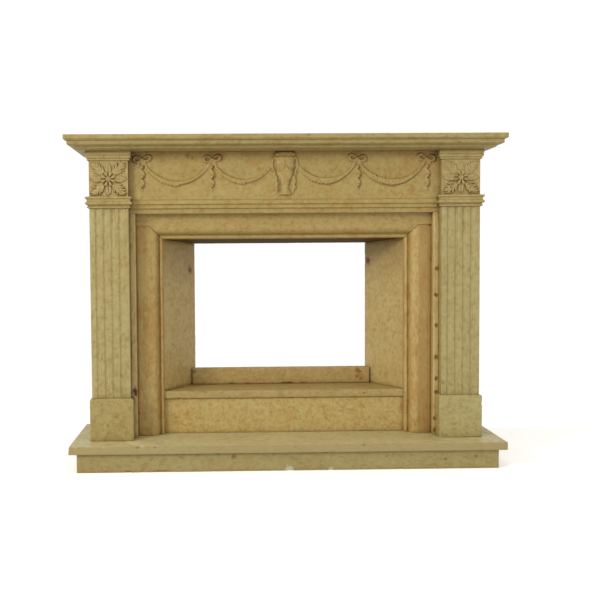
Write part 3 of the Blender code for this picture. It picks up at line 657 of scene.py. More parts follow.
for side, name in ((-1, "left"), (1, "right")):
    # plinth, L-shaped in plan
    poly = [(PLINTH_IN, PLINTH_FRONT), (PLINTH_OUT, PLINTH_FRONT), (PLINTH_OUT, DEPTH), (SHAFT_IN + GAP, DEPTH),
            (SHAFT_IN + GAP, STRIP_FRONT - GAP), (PLINTH_IN, STRIP_FRONT - GAP)]
    w6 = [1, 1, 0, 0, 0, 1]
    z0 = SLAB_TOP + GAP
    levels = [(0.004, z0), (0.0008, z0), (0, z0 + 0.001)] + [(0, z0 + 0.001 + (PLINTH_TOP - 0.008 - z0) * k / 22) for k in range(1, 22)]
    levels += [(0, PLINTH_TOP - 0.0070), (0.0006, PLINTH_TOP - 0.0050), (0.0024, PLINTH_TOP - 0.0022), (0.0052, PLINTH_TOP - 0.0004), (0.0085, PLINTH_TOP)]
    levels += [(0.0118, PLINTH_TOP)]
    rings = prism_rings(poly, w6, levels, [0.0025, 0.0025, 0, 0, 0, 0], divide(poly, [0.005, 0.014, 0.03, 0.02, 0.004, 0.006]), side)
    plinth = loft(name + "_plinth_stone", rings, weld=True)
    if side < 0:
        dents = [((-0.637, y(0.120), 0.2868), 0.008, 0.003), ((-0.637, y(0.115), 0.114), 0.008, 0.003)]
        # the large dark patch at the inner corner of the top, beside the shaft, is painted shade
        spots = [((-0.637, y(0.117), 0.2860), 0.008, lin(84, 52, 22), 0.85), ((-0.637, y(0.160), 0.2868), 0.040, lin(88, 56, 24), 0.8),
                 ((-0.706, y(0.115), 0.218), 0.016, lin(158, 128, 64), 0.6), ((-0.742, y(0.115), 0.176), 0.012, lin(158, 128, 64), 0.5)]
        mat = marble("marble_plinth_left", 5, light=lin(188, 172, 118), mid=lin(178, 158, 102), warm=lin(164, 136, 74), cloud=0.5,
                     mottle=0.24, fleck=0.20, vein=0.15, shade_and_grime=0.5, tint=0.75, spots=spots)
    else:
        dents = [((0.637, y(0.115), 0.116), 0.010, 0.003)]
        mat = marble("marble_plinth_right", 6, light=lin(190, 178, 126), mid=lin(180, 164, 110), warm=lin(168, 146, 88), cloud=0.6,
                     mottle=0.18, fleck=0.12, vein=0.12, shade_and_grime=0.5, tint=0.80)
    weather(plinth, 5 + side, rub=0.0008, chip=0.0024, often=0.38, dents=dents)
    place(plinth, name + "_pilaster_plinth", mat)

    shaft = loft(name + "_shaft_stone", fluted(side), weld=True, angle=50)
    weather(shaft, 8 + side, rub=0.0006, chip=0.0014, often=0.46)
    place(shaft, name + "_pilaster_shaft", marble(
        "marble_shaft_" + name, 8 + side, light=lin(198, 184, 132), mid=lin(186, 168, 114), warm=lin(172, 146, 86), cloud=0.6,
        mottle=0.28, fleck=0.26 if side < 0 else 0.16, vein=0.12, stretch=(1, 1, 0.7), shade_and_grime=0.10, tint=0.72))

    # rosette block with its necking and cap
    levels = [(-0.0 - o, z) for o, z in neck]
    rows = 116
    levels += [(0, NECK_TOP + 0.0006 + (CAP_BOTTOM - NECK_TOP - 0.0012) * k / rows) for k in range(rows + 1)]
    levels += [(-o, z) for o, z in cap]
    poly = [(SHAFT_IN, SHAFT_FRONT), (SHAFT_OUT, SHAFT_FRONT), (SHAFT_OUT, DEPTH), (SHAFT_IN, DEPTH),
            (SHAFT_IN, 0.1664), (SHAFT_IN, 0.1664)]
    rings = []
    front_n, side_n = 136, 22
    for inset, z in levels:
        o = -inset
        stop = 0.1614 if z < 1.1115 else FIELD_FRONT - GAP
        r = 0.0016
        xa, xb, f = SHAFT_IN - o, SHAFT_OUT + o, SHAFT_FRONT - o
        pts = [(SHAFT_IN, DEPTH)] + [(SHAFT_IN, DEPTH + (stop - DEPTH) * k / 6) for k in range(1, 7)]
        pts += [(xa, stop + (f + r - stop) * k / 8) for k in range(0, 9)] + [(xa + 0.29 * r, f + 0.29 * r)]
        pts += [(xa + r + (xb - xa - 2 * r) * k / front_n, f) for k in range(front_n + 1)]
        pts += [(xb - 0.29 * r, f + 0.29 * r)] + [(xb, f + r + (DEPTH - f - r) * (k / side_n) ** 1.3) for k in range(side_n + 1)]
        rings.append([(side * px, y(d), z) for px, d in pts])
    rings = np.array(rings)
    flat = rings.reshape(-1, 3)
    u = (flat[:, 0] - side * ROSETTE_X)
    w = flat[:, 2] - ROSETTE_Z
    rise, dark = flower(u, w, side, 40 + side)
    on = (np.abs(flat[:, 1] - y(SHAFT_FRONT)) < 0.00005) & (flat[:, 2] > NECK_TOP) & (flat[:, 2] < CAP_BOTTOM)
    sunk = 0.0012 * (1 - step01(0.0755, 0.0795, np.abs(u))) * (1 - step01(0.0655, 0.0690, np.abs(w)))
    rough = 0.0004 * fbm(np.stack([u * 220, w * 220, u * 0 + side], -1), 2, 77)
    flat[:, 1] -= np.where(on, rise - sunk + rough * (rise > 0.0004), 0)
    # painted shade, with some dirt, in the rosette's hollows, and painted shade lines at the creases of the necking and
    # the cap
    hollow = np.where(on, np.clip(dark * 0.9, 0, 1), 0)
    mark = sum(a * np.exp(-((flat[:, 2] - zc) / wd) ** 2) for zc, wd, a in
               ((1.0730, 0.0012, 0.60), (1.0842, 0.0014, 0.55), (1.1022, 0.0012, 0.30), (1.1240, 0.0010, 0.35), (1.2694, 0.0010, 0.65), (1.2778, 0.0010, 0.40), (1.2910, 0.0012, 0.35)))
    hollow = np.clip(hollow + mark, 0, 1)
    block = loft(name + "_rosette_block_stone", flat.reshape(rings.shape), cavity=hollow, weld=True, angle=60)
    weather(block, 11 + side, rub=0.0003, chip=0.0010, often=0.46, wave=0.0001)
    place(block, name + "_rosette_block", marble(
        "marble_block_" + name, 11 + side, light=lin(196, 178, 124), mid=lin(182, 160, 104), warm=lin(168, 138, 80), cloud=0.5,
        mottle=0.30, fleck=0.34, vein=0.10, shade_and_grime=0.60, tint=0.78))

    # flat strip beside the shaft
    poly = [(STRIP_IN, STRIP_FRONT), (SHAFT_IN - GAP, STRIP_FRONT), (SHAFT_IN - GAP, STRIP_BACK), (STRIP_IN, STRIP_BACK)]
    levels = eased_levels(SLAB_TOP + GAP, ARCH_BOTTOM - GAP, 0.0006, 110, lip=0.002)
    rings = prism_rings(poly, [1, 1, 0, 1], levels, [0.0016, 0.0012, 0, 0], divide(poly, [0.003, 0.02, 0.01, 0.012]), side)
    strip = loft(name + "_strip_stone", rings)
    if side > 0:
        rows = [(0.640, 0.816), (0.639, 0.705), (0.640, 0.575), (0.639, 0.442), (0.640, 0.350), (0.640, 0.290), (0.6345, 0.178), (0.6340, 0.128)]
        spots = [((px, y(STRIP_FRONT), pz), 0.0125, lin(116, 70, 28), 0.94) for px, pz in rows]
        dents = [((px, y(STRIP_FRONT), pz), 0.006, 0.002) for px, pz in rows]
    else:
        spots = [((-0.638, y(STRIP_FRONT), 0.303), 0.021, lin(112, 72, 30), 0.92), ((-0.640, y(STRIP_FRONT), 0.309), 0.0115, HOLE, 0.97),
                 ((-0.634, y(STRIP_FRONT), 0.293), 0.010, HOLE, 0.9)]
        dents = [((-0.639, y(STRIP_FRONT), 0.306), 0.013, 0.006), ((-0.634, y(STRIP_FRONT), 0.293), 0.008, 0.003)]
    weather(strip, 14 + side, rub=0.0007, chip=0.0018, often=0.40, dents=dents)
    place(strip, name + "_side_strip", marble(
        "marble_strip_" + name, 14 + side, light=lin(192, 174, 120), mid=lin(180, 158, 104), warm=lin(168, 140, 82), cloud=0.5,
        mottle=0.3, fleck=0.2, vein=0.2, stretch=(1, 1, 0.5), shade_and_grime=0.6, tint=0.98 if side < 0 else 1.10, spots=spots))


# ===================================================================== frieze
def near(X, Z, path, radii):
    """For points (X, Z): distance to a run of circles over their radius, which
    circle is nearest, and on which side of the run the point lies."""
    best = np.full(X.shape, 9.0)
    who = np.zeros(X.shape, int)
    sgn = np.zeros(X.shape)
    path = np.asarray(path, float)
    for i in range(len(path)):
        a, b = path[max(0, i - 1)], path[min(len(path) - 1, i + 1)]
        t = (b - a) / max(1e-9, np.hypot(*(b - a)))
        dx, dz = X - path[i, 0], Z - path[i, 1]
        q = np.hypot(dx, dz) / radii[i]
        m = q < best
        best = np.where(m, q, best)
        who = np.where(m, i, who)
        sgn = np.where(m, t[0] * dz - t[1] * dx, sgn)
    return best, who, sgn


def window(X, Z, x0, x1, z0, z1):
    return (X > x0) & (X < x1) & (Z > z0) & (Z < z1)


def carve(X, Z):
    """Height of the frieze's carving over its ground."""
    H = np.zeros_like(X)
    D = np.full(X.shape, 9.0)          # how far outside the carving, in units of its own radius

    def raise_to(mask, h, q):
        H[mask] = np.maximum(H[mask], np.where(q < 1, h, 0))
        D[mask] = np.minimum(D[mask], q)

    def leaflet(ax, az, bx, bz, ra, rb, high):
        pad = ra + 0.002
        m = window(X, Z, min(ax, bx) - pad, max(ax, bx) + pad, min(az, bz) - pad, max(az, bz) + pad)
        dx, dz = bx - ax, bz - az
        t = np.clip(((X[m] - ax) * dx + (Z[m] - az) * dz) / (dx * dx + dz * dz), 0, 1)
        q = np.hypot(X[m] - ax - dx * t, Z[m] - az - dz * t) / (ra + (rb - ra) * t)
        raise_to(m, high * np.sqrt(np.clip(1 - q * q, 0, 1)), q)

    def swag(xa, za, xb, zb, sag, thick, leafy, seed):
        steps, k = 110, 1.6
        rng = np.random.RandomState(seed)
        x0, x1 = min(xa, xb) - 0.02, max(xa, xb) + 0.02
        m = window(X, Z, x0, x1, min(za, zb) - sag - 0.025, max(za, zb) + 0.02)
        xs, zs = X[m], Z[m]
        t = np.arange(steps + 1) / steps
        drop = (math.cosh(k) - np.cosh(k * (2 * t - 1))) / (math.cosh(k) - 1)
        path = np.stack([xa + (xb - xa) * t, za + (zb - za) * t - sag * drop], -1)
        arc = np.concatenate([[0], np.cumsum(np.hypot(*np.diff(path, axis=0).T))])
        rad = thick * (0.34 + 0.66 * np.sin(math.pi * np.clip(t, 0, 1) ** 0.9) ** 0.8)
        lump = (0.10 if leafy < 0.8 else 0.22) * np.sin(2 * math.pi * arc / 0.0235 + seed)
        q, who, sg = near(xs, zs, path, rad * (0.92 + lump * leafy))
        r = rad[who]
        h = r * 0.88 * np.sqrt(np.clip(1 - q ** 2, 0, 1))
        # a shallow furrow between the upper and lower row of leaves
        side = np.sign(sg)
        h = h - 0.14 * leafy * r * np.exp(-((q * side + 0.1) / 0.20) ** 2)
        h = h * (1 + 0.10 * fbm(np.stack([xs * 130, zs * 130, xs * 0 + seed], -1), 2, seed))
        raise_to(m, h, q)
        # leaves lying along it, outer ends turned out
        s, n = 0.012, 0
        while s < arc[-1] - 0.010:
            i = int(np.searchsorted(arc, s))
            a, b = path[max(0, i - 2)], path[min(steps, i + 2)]
            d = (b - a) / np.hypot(*(b - a))
            c = path[i]
            r = rad[i]
            full = r / thick
            for sd in (-1, 1):
                if leafy < 0.8 and not (sd < 0 and t[i] < 0.52):
                    continue
                flip = 1 if t[i] < 0.5 else -1
                turn = sd * (0.55 + rng.uniform(-0.12, 0.12))
                dx = d[0] * math.cos(turn) - d[1] * math.sin(turn)
                dz = d[0] * math.sin(turn) + d[1] * math.cos(turn)
                nx, nz = -d[1] * sd, d[0] * sd
                o = r * 0.45
                L = 0.0125 * full + 0.002
                leaflet(c[0] + nx * o, c[1] + nz * o, c[0] + nx * o + flip * dx * L,
                        c[1] + nz * o + (dz if flip > 0 else -d[1] * math.cos(turn) + d[0] * math.sin(turn)) * L,
                        0.0056 * full + 0.0012, 0.0030, r * (0.86 if leafy < 0.8 else 1.08))
            s += 0.0130 + rng.uniform(-0.001, 0.001)
            n += 1

    def cord(path, radii, high, skew=0.0):
        path = np.asarray(path, float)
        radii = np.asarray(radii, float)
        high = np.broadcast_to(np.asarray(high, float), radii.shape)
        pad = radii.max() + 0.004
        m = window(X, Z, path[:, 0].min() - pad, path[:, 0].max() + pad, path[:, 1].min() - pad, path[:, 1].max() + pad)
        q, who, sg = near(X[m], Z[m], path, radii)
        r = radii[who]
        h = high[who] * r * np.sqrt(np.clip(1 - q ** 2, 0, 1)) * (1 + skew * np.clip(sg / r, -1, 1))
        raise_to(m, h, q)

    def knob(x, z, rx, rz, high):
        m = window(X, Z, x - rx - .002, x + rx + .002, z - rz - .002, z + rz + .002)
        q = np.hypot((X[m] - x) / rx, (Z[m] - z) / rz)
        raise_to(m, high * np.sqrt(np.clip(1 - q ** 2, 0, 1)), q)

    def bow(x, z, lean, seed):
        rng = np.random.RandomState(seed)
        for sd in (-1, 1):
            loop, rad = [], []
            for i in range(49):
                a = 2 * math.pi * i / 48
                u = 0.0190 + 0.0146 * math.cos(a)
                w = 0.0128 * math.sin(a) * (0.55 + 0.45 * u / 0.0336)
                loop.append((x + sd * u + rng.uniform(-.0003, .0003), z + w + 0.10 * u * (1 - sd * lean)))
                rad.append(0.0056 + 0.0014 * math.cos(a) + 0.0006 * math.sin(3 * a + seed))
            cord(loop, rad, 1.30, skew=0.35)
            # the ribbon's short end over the swag
            t = np.arange(13) / 12
            cord(np.stack([x + sd * (0.004 + 0.0150 * t), z - 0.006 - 0.024 * t ** 1.2], -1), 0.0050 - 0.0012 * t, 0.95, skew=0.3)
        knob(x, z - 0.001, 0.0086, 0.0088, 0.0105)
        # the long end: a ribbon folded to and fro
        t = np.arange(101) / 100
        ph = 2 * math.pi * 3.0 * t ** 1.06
        env = 0.35 + 0.65 * np.sin(math.pi * np.clip(0.12 + 0.80 * t, 0, 1))
        tail = np.stack([x + lean * 0.002 + 0.0076 * env * (np.sin(ph) - 0.11 * np.sin(3 * ph)), z - 0.010 - 0.118 * t], -1)
        rad = (0.0066 + 0.0016 * np.cos(2 * ph)) * (0.72 + 0.38 * np.sin(math.pi * np.clip(t, 0, 1)))
        cord(tail, rad, 1.05 + 0.40 * -np.cos(ph), skew=0.35)

    A, B, zb = 0.5930, 0.3030, 1.2770
    swag(-A + 0.008, 1.2580, -B - 0.007, 1.2580, 0.0790, 0.0098, 0.45, 3)
    swag(-B + 0.007, 1.2580, -0.0520, 1.2520, 0.0700, 0.0090, 0.45, 5)
    swag(0.0520, 1.2520, B - 0.007, 1.2580, 0.0700, 0.0092, 0.90, 7)
    swag(B + 0.007, 1.2580, A - 0.008, 1.2580, 0.0790, 0.0100, 1.00, 9)
    for i, (bx, ln) in enumerate(((-A, -1), (-B, -1), (B, 1), (A, 1))):
        bow(bx, zb, ln, 20 + i)

    # the urn
    m = window(X, Z, -0.07, 0.07, 1.12, 1.3075)
    xs, zs = X[m], Z[m]
    outline = np.array([(1.1280, 0.0270), (1.1350, 0.0280), (1.1400, 0.0205), (1.1490, 0.0155), (1.1610, 0.0135), (1.1700, 0.0140),
                        (1.1745, 0.0185), (1.1810, 0.0205), (1.1930, 0.0255), (1.2090, 0.0320), (1.2270, 0.0365), (1.2500, 0.0392),
                        (1.2700, 0.0405), (1.2760, 0.0435), (1.2850, 0.0440), (1.2880, 0.0410), (1.2930, 0.0405), (1.3000, 0.0400), (1.3078, 0.0390)])
    rz = np.interp(zs, outline[:, 0], outline[:, 1], left=0, right=0)
    q = np.abs(xs) / np.maximum(rz, 1e-4)
    body = np.where(q < 1, 0.0008 + 0.38 * rz * np.sqrt(np.clip(1 - q ** 2, 0, 1)), 0)
    gad = (1 - step01(1.186, 1.208, zs)) * step01(1.172, 1.180, zs)
    body = body * (1 - 0.12 * gad * (0.5 + 0.5 * np.cos(np.arcsin(np.clip(xs / np.maximum(rz, 1e-4), -1, 1)) * 12)))
    for zc, wd, hi in ((1.2800, 0.0042, 0.0026), (1.1722, 0.0028, 0.0018), (1.1320, 0.0036, 0.0018)):
        body = np.where(q < 1, body + hi * np.exp(-((zs - zc) / wd) ** 2), body)
    raise_to(m, body, np.where(rz > 0, q, 9))
    for sd in (-1, 1):
        knob(sd * 0.0335, 1.2965, 0.0100, 0.0095, 0.0140)
        knob(sd * 0.0120, 1.2985, 0.0110, 0.0105, 0.0170)
        t = np.arange(41) / 40
        handle = np.stack([sd * (0.0415 + 0.0110 * np.sin(math.pi * t)), 1.2890 - 0.0690 * t], -1)
        cord(handle, 0.0048 + 0.0005 * np.sin(9 * t), 1.05)
        drop = np.stack([sd * (0.0405 - 0.0055 * t + 0.0030 * np.sin(19.0 * t)), 1.2200 - 0.0830 * t], -1)
        cord(drop, 0.0040 + 0.0036 * np.sin(math.pi * np.clip(t ** 1.3, 0, 1)), 1.10, skew=0.2)
        for k in range(4):
            knob(sd * (0.0385 - 0.0020 * k), 1.2030 - 0.0165 * k, 0.0066, 0.0056, 0.0092)
        px = sd * (0.003 + 0.034 * t)
        drape = np.stack([px, 1.2490 - 0.0215 * np.sin(math.pi * t)], -1)
        rr = 0.0034 + 0.0018 * np.sin(math.pi * t)
        mm = window(X, Z, drape[:, 0].min() - .006, drape[:, 0].max() + .006, 1.215, 1.260)
        qq, who, _ = near(X[mm], Z[mm], drape, rr)
        add = 0.0042 * np.sqrt(np.clip(1 - qq ** 2, 0, 1))
        groove = 0.0020 * np.exp(-((qq - 1.25) / 0.35) ** 2)
        H[mm] = H[mm] + np.where(qq < 1, add, 0) - np.where(H[mm] > 0.004, groove, 0)
    return H, D


def blur(a, n):
    for _ in range(n):
        p = np.pad(a, 1, mode="edge")
        a = (p[1:-1, 1:-1] * 2 + p[:-2, 1:-1] + p[2:, 1:-1] + p[1:-1, :-2] + p[1:-1, 2:]) / 6
    return a


cols = 640
xs = np.linspace(-FRIEZE_HALF, FRIEZE_HALF, cols + 1)
field_top, field_low = BLOCK_TOP, 1.1104
nz = 100
zs = np.linspace(field_top, field_low, nz + 1)
X, Z = np.meshgrid(xs, zs, indexing="ij")
H, D = carve(X, Z)
near_edge = np.minimum(FRIEZE_HALF - np.abs(X), 0.02) / 0.02
H = H * step01(0.0, 0.35, near_edge)
ground = 0.0009 * np.exp(-((D - 1.25) / 0.35) ** 2) * (D >= 1)           # the ground dips beside the carving
smooth = blur(H, 1)
flatten = blur(smooth, 14)
hollow = np.clip((flatten - smooth) / 0.0030, 0, 1) * (D > 0.80)
# most of the darkening is painted shadow on the side away from the light, right of and under the carving, less of it on
# the urn; the hollows all round get a little painted shade and dirt
to_left = np.roll(smooth, 2, axis=0) - smooth
above = np.roll(smooth, 2, axis=1) - smooth
lee = np.clip((0.8 * to_left + 0.5 * above) / 0.0050, 0, 1)
beside = np.exp(-(X / 0.062) ** 8)
hollow = 0.14 * hollow + (0.75 - 0.45 * beside) * blur(lee, 1) * (D > 0.55)
for sd in (-1, 1):
    # painted shade in the pits between the urn's foot and its tassels, and between its rim and the flowers
    hollow = hollow + 0.62 * np.exp(-((X - sd * 0.0205) / 0.0034) ** 2) * step01(1.138, 1.146, Z) * (1 - step01(1.188, 1.204, Z))
    hollow = hollow + 0.80 * np.exp(-((X - sd * 0.0310) / 0.0070) ** 2 - ((Z - 1.2865) / 0.0030) ** 2)
hollow = np.clip(hollow, 0, 1)
face_d = FIELD_FRONT - smooth + ground

bands = quarter((0.1662, 1.1092), (0.1622, 1.1072), 4, "second")
bands += [(0.1620, 1.0918), (0.1650, 1.0902), (0.1675, 1.0885), (0.1700, 1.0872),
          (0.1700, 1.0748), (0.1730, 1.0732), (0.1765, 1.0716), (0.1795, 1.0700), (0.1795, ARCH_BOTTOM)]
bands = soften([(FIELD_FRONT, 1.1104)] + bands + [(0.185, ARCH_BOTTOM)], 0.0011, 2)[1:]
lower = np.array(bands)
back = np.array([(FRIEZE_BACK, ARCH_BOTTOM), (FRIEZE_BACK, 1.12), (FRIEZE_BACK, 1.20), (FRIEZE_BACK, BLOCK_TOP), (0.20, BLOCK_TOP)])
rings = np.zeros((cols + 1, nz + 1 + len(lower) + len(back), 3))
cav = np.zeros(rings.shape[:2])
rings[:, :, 0] = xs[:, None]
rings[:, :nz + 1, 1] = y(face_d)
rings[:, :nz + 1, 2] = Z
cav[:, :nz + 1] = hollow
rings[:, nz + 1:nz + 1 + len(lower), 1] = y(lower[:, 0])[None]
rings[:, nz + 1:nz + 1 + len(lower), 2] = lower[:, 1][None]
rings[:, nz + 1 + len(lower):, 1] = y(back[:, 0])[None]
rings[:, nz + 1 + len(lower):, 2] = back[:, 1][None]
# dark lines along the steps of the fascias: painted shade, with dirt on the ledges
wob = 0.75 + 0.35 * vnoise(np.stack([xs * 9, xs * 0, xs * 0], -1), 5)
line = sum(a * np.exp(-((rings[0, :, 2] - zc) / wd) ** 2) for zc, wd, a in
           ((1.1098, 0.0016, 0.50), (1.0905, 0.0014, 0.32), (1.0738, 0.0014, 0.32), (1.0535, 0.0012, 0.15)))
front_rows = np.arange(rings.shape[1]) < nz + 1 + len(lower)
cav = np.clip(cav + (line * front_rows)[None] * wob[:, None], 0, 1)
frieze = loft("frieze_stone", rings, cavity=cav.ravel(), angle=60)
weather(frieze, 21, rub=0.0003, chip=0.0009, often=0.48, wave=0.00030, spare=lambda X, Dp, Z: (Z < ARCH_BOTTOM + 0.001) & (Dp > 0.186),
        dents=[((0.6497, y(0.165), 1.098), 0.010, 0.004), ((0.6497, y(0.172), 1.080), 0.010, 0.004),
               ((-0.6497, y(0.165), 1.100), 0.009, 0.003), ((-0.6497, y(0.172), 1.070), 0.008, 0.003)])
# the top of the field is painted darker and warmer towards the shelf: painted shade under it
place(frieze, "carved_frieze", marble(
    "marble_frieze", 21, light=lin(188, 168, 108), mid=lin(178, 154, 92), warm=lin(174, 140, 72), cloud=0.55, mottle=0.50, fleck=0.42,
    vein=0.25, shade_and_grime=0.62, tint=0.81,
    spots=[((0.648, y(0.164), 1.098), 0.010, HOLE, 0.95), ((0.648, y(0.172), 1.080), 0.010, HOLE, 0.95),
           ((-0.648, y(0.164), 1.102), 0.008, HOLE, 0.8), ((-0.648, y(0.172), 1.072), 0.008, HOLE, 0.7),
           ((-0.405, y(0.167), 1.292), 0.016, lin(138, 84, 40), 0.6), ((-0.385, y(0.167), 1.283), 0.010, lin(128, 76, 36), 0.6),
           ((-0.265, y(0.167), 1.290), 0.030, lin(158, 104, 52), 0.55), ((-0.520, y(0.167), 1.290), 0.040, lin(160, 118, 60), 0.35),
           ((-0.130, y(0.167), 1.262), 0.032, lin(176, 130, 56), 0.45),
           ((-0.618, y(0.163), 1.285), 0.045, lin(112, 76, 34), 0.55), ((-0.303, y(0.163), 1.297), 0.040, lin(134, 94, 46), 0.45),
           ((0.303, y(0.163), 1.297), 0.040, lin(140, 98, 48), 0.45), ((-0.340, y(0.167), 1.135), 0.030, lin(176, 138, 62), 0.35),
           ((-0.455, y(0.167), 1.140), 0.024, lin(180, 136, 56), 0.40), ((0.200, y(0.167), 1.135), 0.030, lin(176, 138, 62), 0.30), ((0.600, y(0.167), 1.285), 0.040, lin(146, 108, 58), 0.5)],
    fade=(2, 1.245, 1.300, 0.16, lin(170, 130, 68))))

# ================================================================ inner frame
mould = [(0.0, 0.2700), (0.0, 0.2570), (0.0015, 0.2520), (0.0050, 0.2482), (0.0090, 0.2470),
         (0.0135, 0.2478), (0.0155, 0.2495), (0.0165, 0.2515), (0.0190, 0.2515), (0.0200, 0.2476)]
mould += [(MOULD_WIDTH - s, d) for s, d in quarter((0.0, FRAME_FLAT), (MOULD_WIDTH - 0.0200, 0.2476), 12, "first")[-2::-1]]
mould = soften(mould + [(MOULD_WIDTH + 0.004, FRAME_FLAT)], 0.0009, 2)[:-1]
HEADER_TOP = ARCH_BOTTOM - 0.00002
FULL = HEADER_TOP - OPENING_TOP
seam = MOULD_WIDTH + 0.0004


def frame_member(name, width, run, ends, put, square=False):
    """A moulded member: its section at every station, cut by the mitre.
    run are the stations, ends(s) how far a point at s reaches each way."""
    sec = mould + [(seam, FRAME_FLAT)] + [(seam + (width - seam - 0.0016) * k / 8, FRAME_FLAT) for k in range(1, 9)]
    sec += [(width, FRAME_FLAT), (width, FRAME_FLAT + 0.002)] if square else [(width - 0.0005, FRAME_FLAT + 0.0005), (width, FRAME_FLAT + 0.002)]
    front = np.array(sec)
    rear = np.array([(s, FRAME_BACK) for s, _ in sec[::-1]])
    loop = np.concatenate([front, rear])
    n, half = len(loop), len(front)
    lo = np.array([ends(s)[0] for s, _ in loop])
    hi = np.array([ends(s)[1] for s, _ in loop])
    P = np.zeros((len(run), n, 3))
    for i, v in enumerate(run):
        at = np.clip(v, lo, hi)
        # the arris of each cut end is eased
        toend = np.minimum(at - lo, hi - at)
        ease = 0.0007 * np.exp(-toend / 0.0008) * (np.arange(n) < half)
        P[i] = put(loop[:, 0], loop[:, 1] + ease, at)
    rows = len(run)
    faces = grid_faces(rows, n)
    for r0, rev in ((0, True), (rows - 1, False)):
        b = r0 * n
        for k in range(half - 1):
            f = [b + k, b + k + 1, b + n - 2 - k, b + n - 1 - k]
            faces.append(f[::-1] if rev else f)
    return build(name, P.reshape(-1, 3), faces, weld=True, angle=45)


def stations(lo, hi, cuts, step=0.006):
    """Even stations, with close ones near each end and each cut."""
    vals = list(np.linspace(lo, hi, int((hi - lo) / step) + 1))
    for c in cuts:
        vals += [c + o for o in (-0.0035, -0.0018, -0.0008, 0.0, 0.0008, 0.0018, 0.0035)]
    return sorted({round(min(max(v, lo), hi), 5) for v in vals})


def header_end(s):
    reach = OPENING_HALF + s - 0.0004 if s <= MOULD_WIDTH + 1e-6 else OUTER
    return -reach, reach


mitre = [OPENING_HALF + s for s in np.linspace(0, MOULD_WIDTH, 12)]
run = stations(-OUTER, OUTER, [-OUTER, OUTER] + mitre + [-v for v in mitre])
header = frame_member("header_stone", FULL, run, header_end,
                      lambda s, d, at: np.stack([at, y(d), OPENING_TOP + s], -1), True)
weather(header, 31, rub=0.0005, chip=0.0012, often=0.44, wave=0.0002, spare=lambda X, Dp, Z: Z > 1.0505)
# its lowest edge over the opening is painted dark: painted shade
place(header, "insert_header", marble(
    "marble_header", 31, light=lin(184, 160, 102), mid=lin(174, 149, 88), warm=lin(170, 134, 66), cloud=0.5, mottle=0.40, fleck=0.50,
    vein=0.45, stretch=(0.8, 1, 1), shade_and_grime=0.28, tint=0.89,
    fade=(2, 0.9496, 0.9479, 0.50, lin(104, 78, 36))))

for side, name in ((-1, "left"), (1, "right")):
    z0 = SLAB_TOP + GAP

    def leg_end(s):
        return z0, (OPENING_TOP + s - 0.0008 if s <= MOULD_WIDTH + 1e-6 else OPENING_TOP + MOULD_WIDTH - GAP)

    run = stations(z0, OPENING_TOP + MOULD_WIDTH, [z0] + [OPENING_TOP + s for s in np.linspace(0, MOULD_WIDTH, 12)], 0.007)
    leg = frame_member(name + "_leg_stone", OUTER - OPENING_HALF, run, leg_end,
                       lambda s, d, at: np.stack([side * (OPENING_HALF + s), y(d), at], -1))
    if side > 0:
        dents = [((0.6225, y(FRAME_FLAT), 1.0000), 0.008, 0.004)]
        spots = [((0.6215, y(FRAME_FLAT), 1.0005), 0.007, HOLE, 0.95)]
        # its flat face is painted darker and more orange than the moulding beside it: painted shade
        mat = marble("marble_leg_right", 34, light=lin(192, 168, 108), mid=lin(176, 148, 86), warm=lin(168, 128, 62), cloud=0.5,
                     mottle=0.40, fleck=0.42, vein=0.35, stretch=(1, 1, 0.55), shade_and_grime=0.5, streak=0.35, tint=0.95, spots=spots,
                     fade=(0, OPENING_HALF + 0.0540, OPENING_HALF + 0.0570, 0.45, lin(150, 114, 56)))
    else:
        dents = [((-0.6245, y(FRAME_FLAT), 0.208), 0.006, 0.002)]
        spots = [((-0.6235, y(FRAME_FLAT), 0.208), 0.006, lin(98, 58, 26), 0.9)]
        mat = marble("marble_leg_left", 32, light=lin(182, 158, 98), mid=lin(168, 142, 80), warm=lin(162, 122, 58), cloud=0.5,
                     mottle=0.45, fleck=0.60, vein=0.40, stretch=(1, 1, 0.55), shade_and_grime=0.6, streak=0.50, tint=0.95, spots=spots)
    weather(leg, 33 + side, rub=0.0005, chip=0.0012, often=0.44, wave=0.0002, dents=dents)
    place(leg, "insert_" + name + "_leg", mat)

# ========================================================= raised inner hearth
edge = OPENING_HALF - 0.00002
poly = [(-edge, RISER_FRONT), (edge, RISER_FRONT), (edge, DEPTH), (-edge, DEPTH)]
levels = eased_levels(SLAB_TOP + GAP, RISER_TOP, 0.0010, 16)
rings = prism_rings(poly, [1, 0, 0, 0], levels, [0, 0, 0, 0], divide(poly, [0.006, 0.02, 0.06, 0.02]))
riser = loft("riser_stone", rings, weld=True)
weather(riser, 41, rub=0.0006, chip=0.0012, often=0.44, spare=lambda X, Dp, Z: np.abs(X) > OPENING_HALF - 0.0006)
crack = [((0.040 + 0.006 * k, y(RISER_FRONT), 0.216 - 0.0052 * k), 0.0042, lin(132, 96, 44), 0.7) for k in range(5)]
place(riser, "inner_hearth_riser", marble(
    "marble_riser", 41, light=lin(193, 174, 114), mid=lin(182, 158, 98), warm=lin(176, 138, 66), cloud=0.60, mottle=0.32, fleck=0.66,
    vein=0.35, shade_and_grime=0.4, tint=0.91, spots=crack))

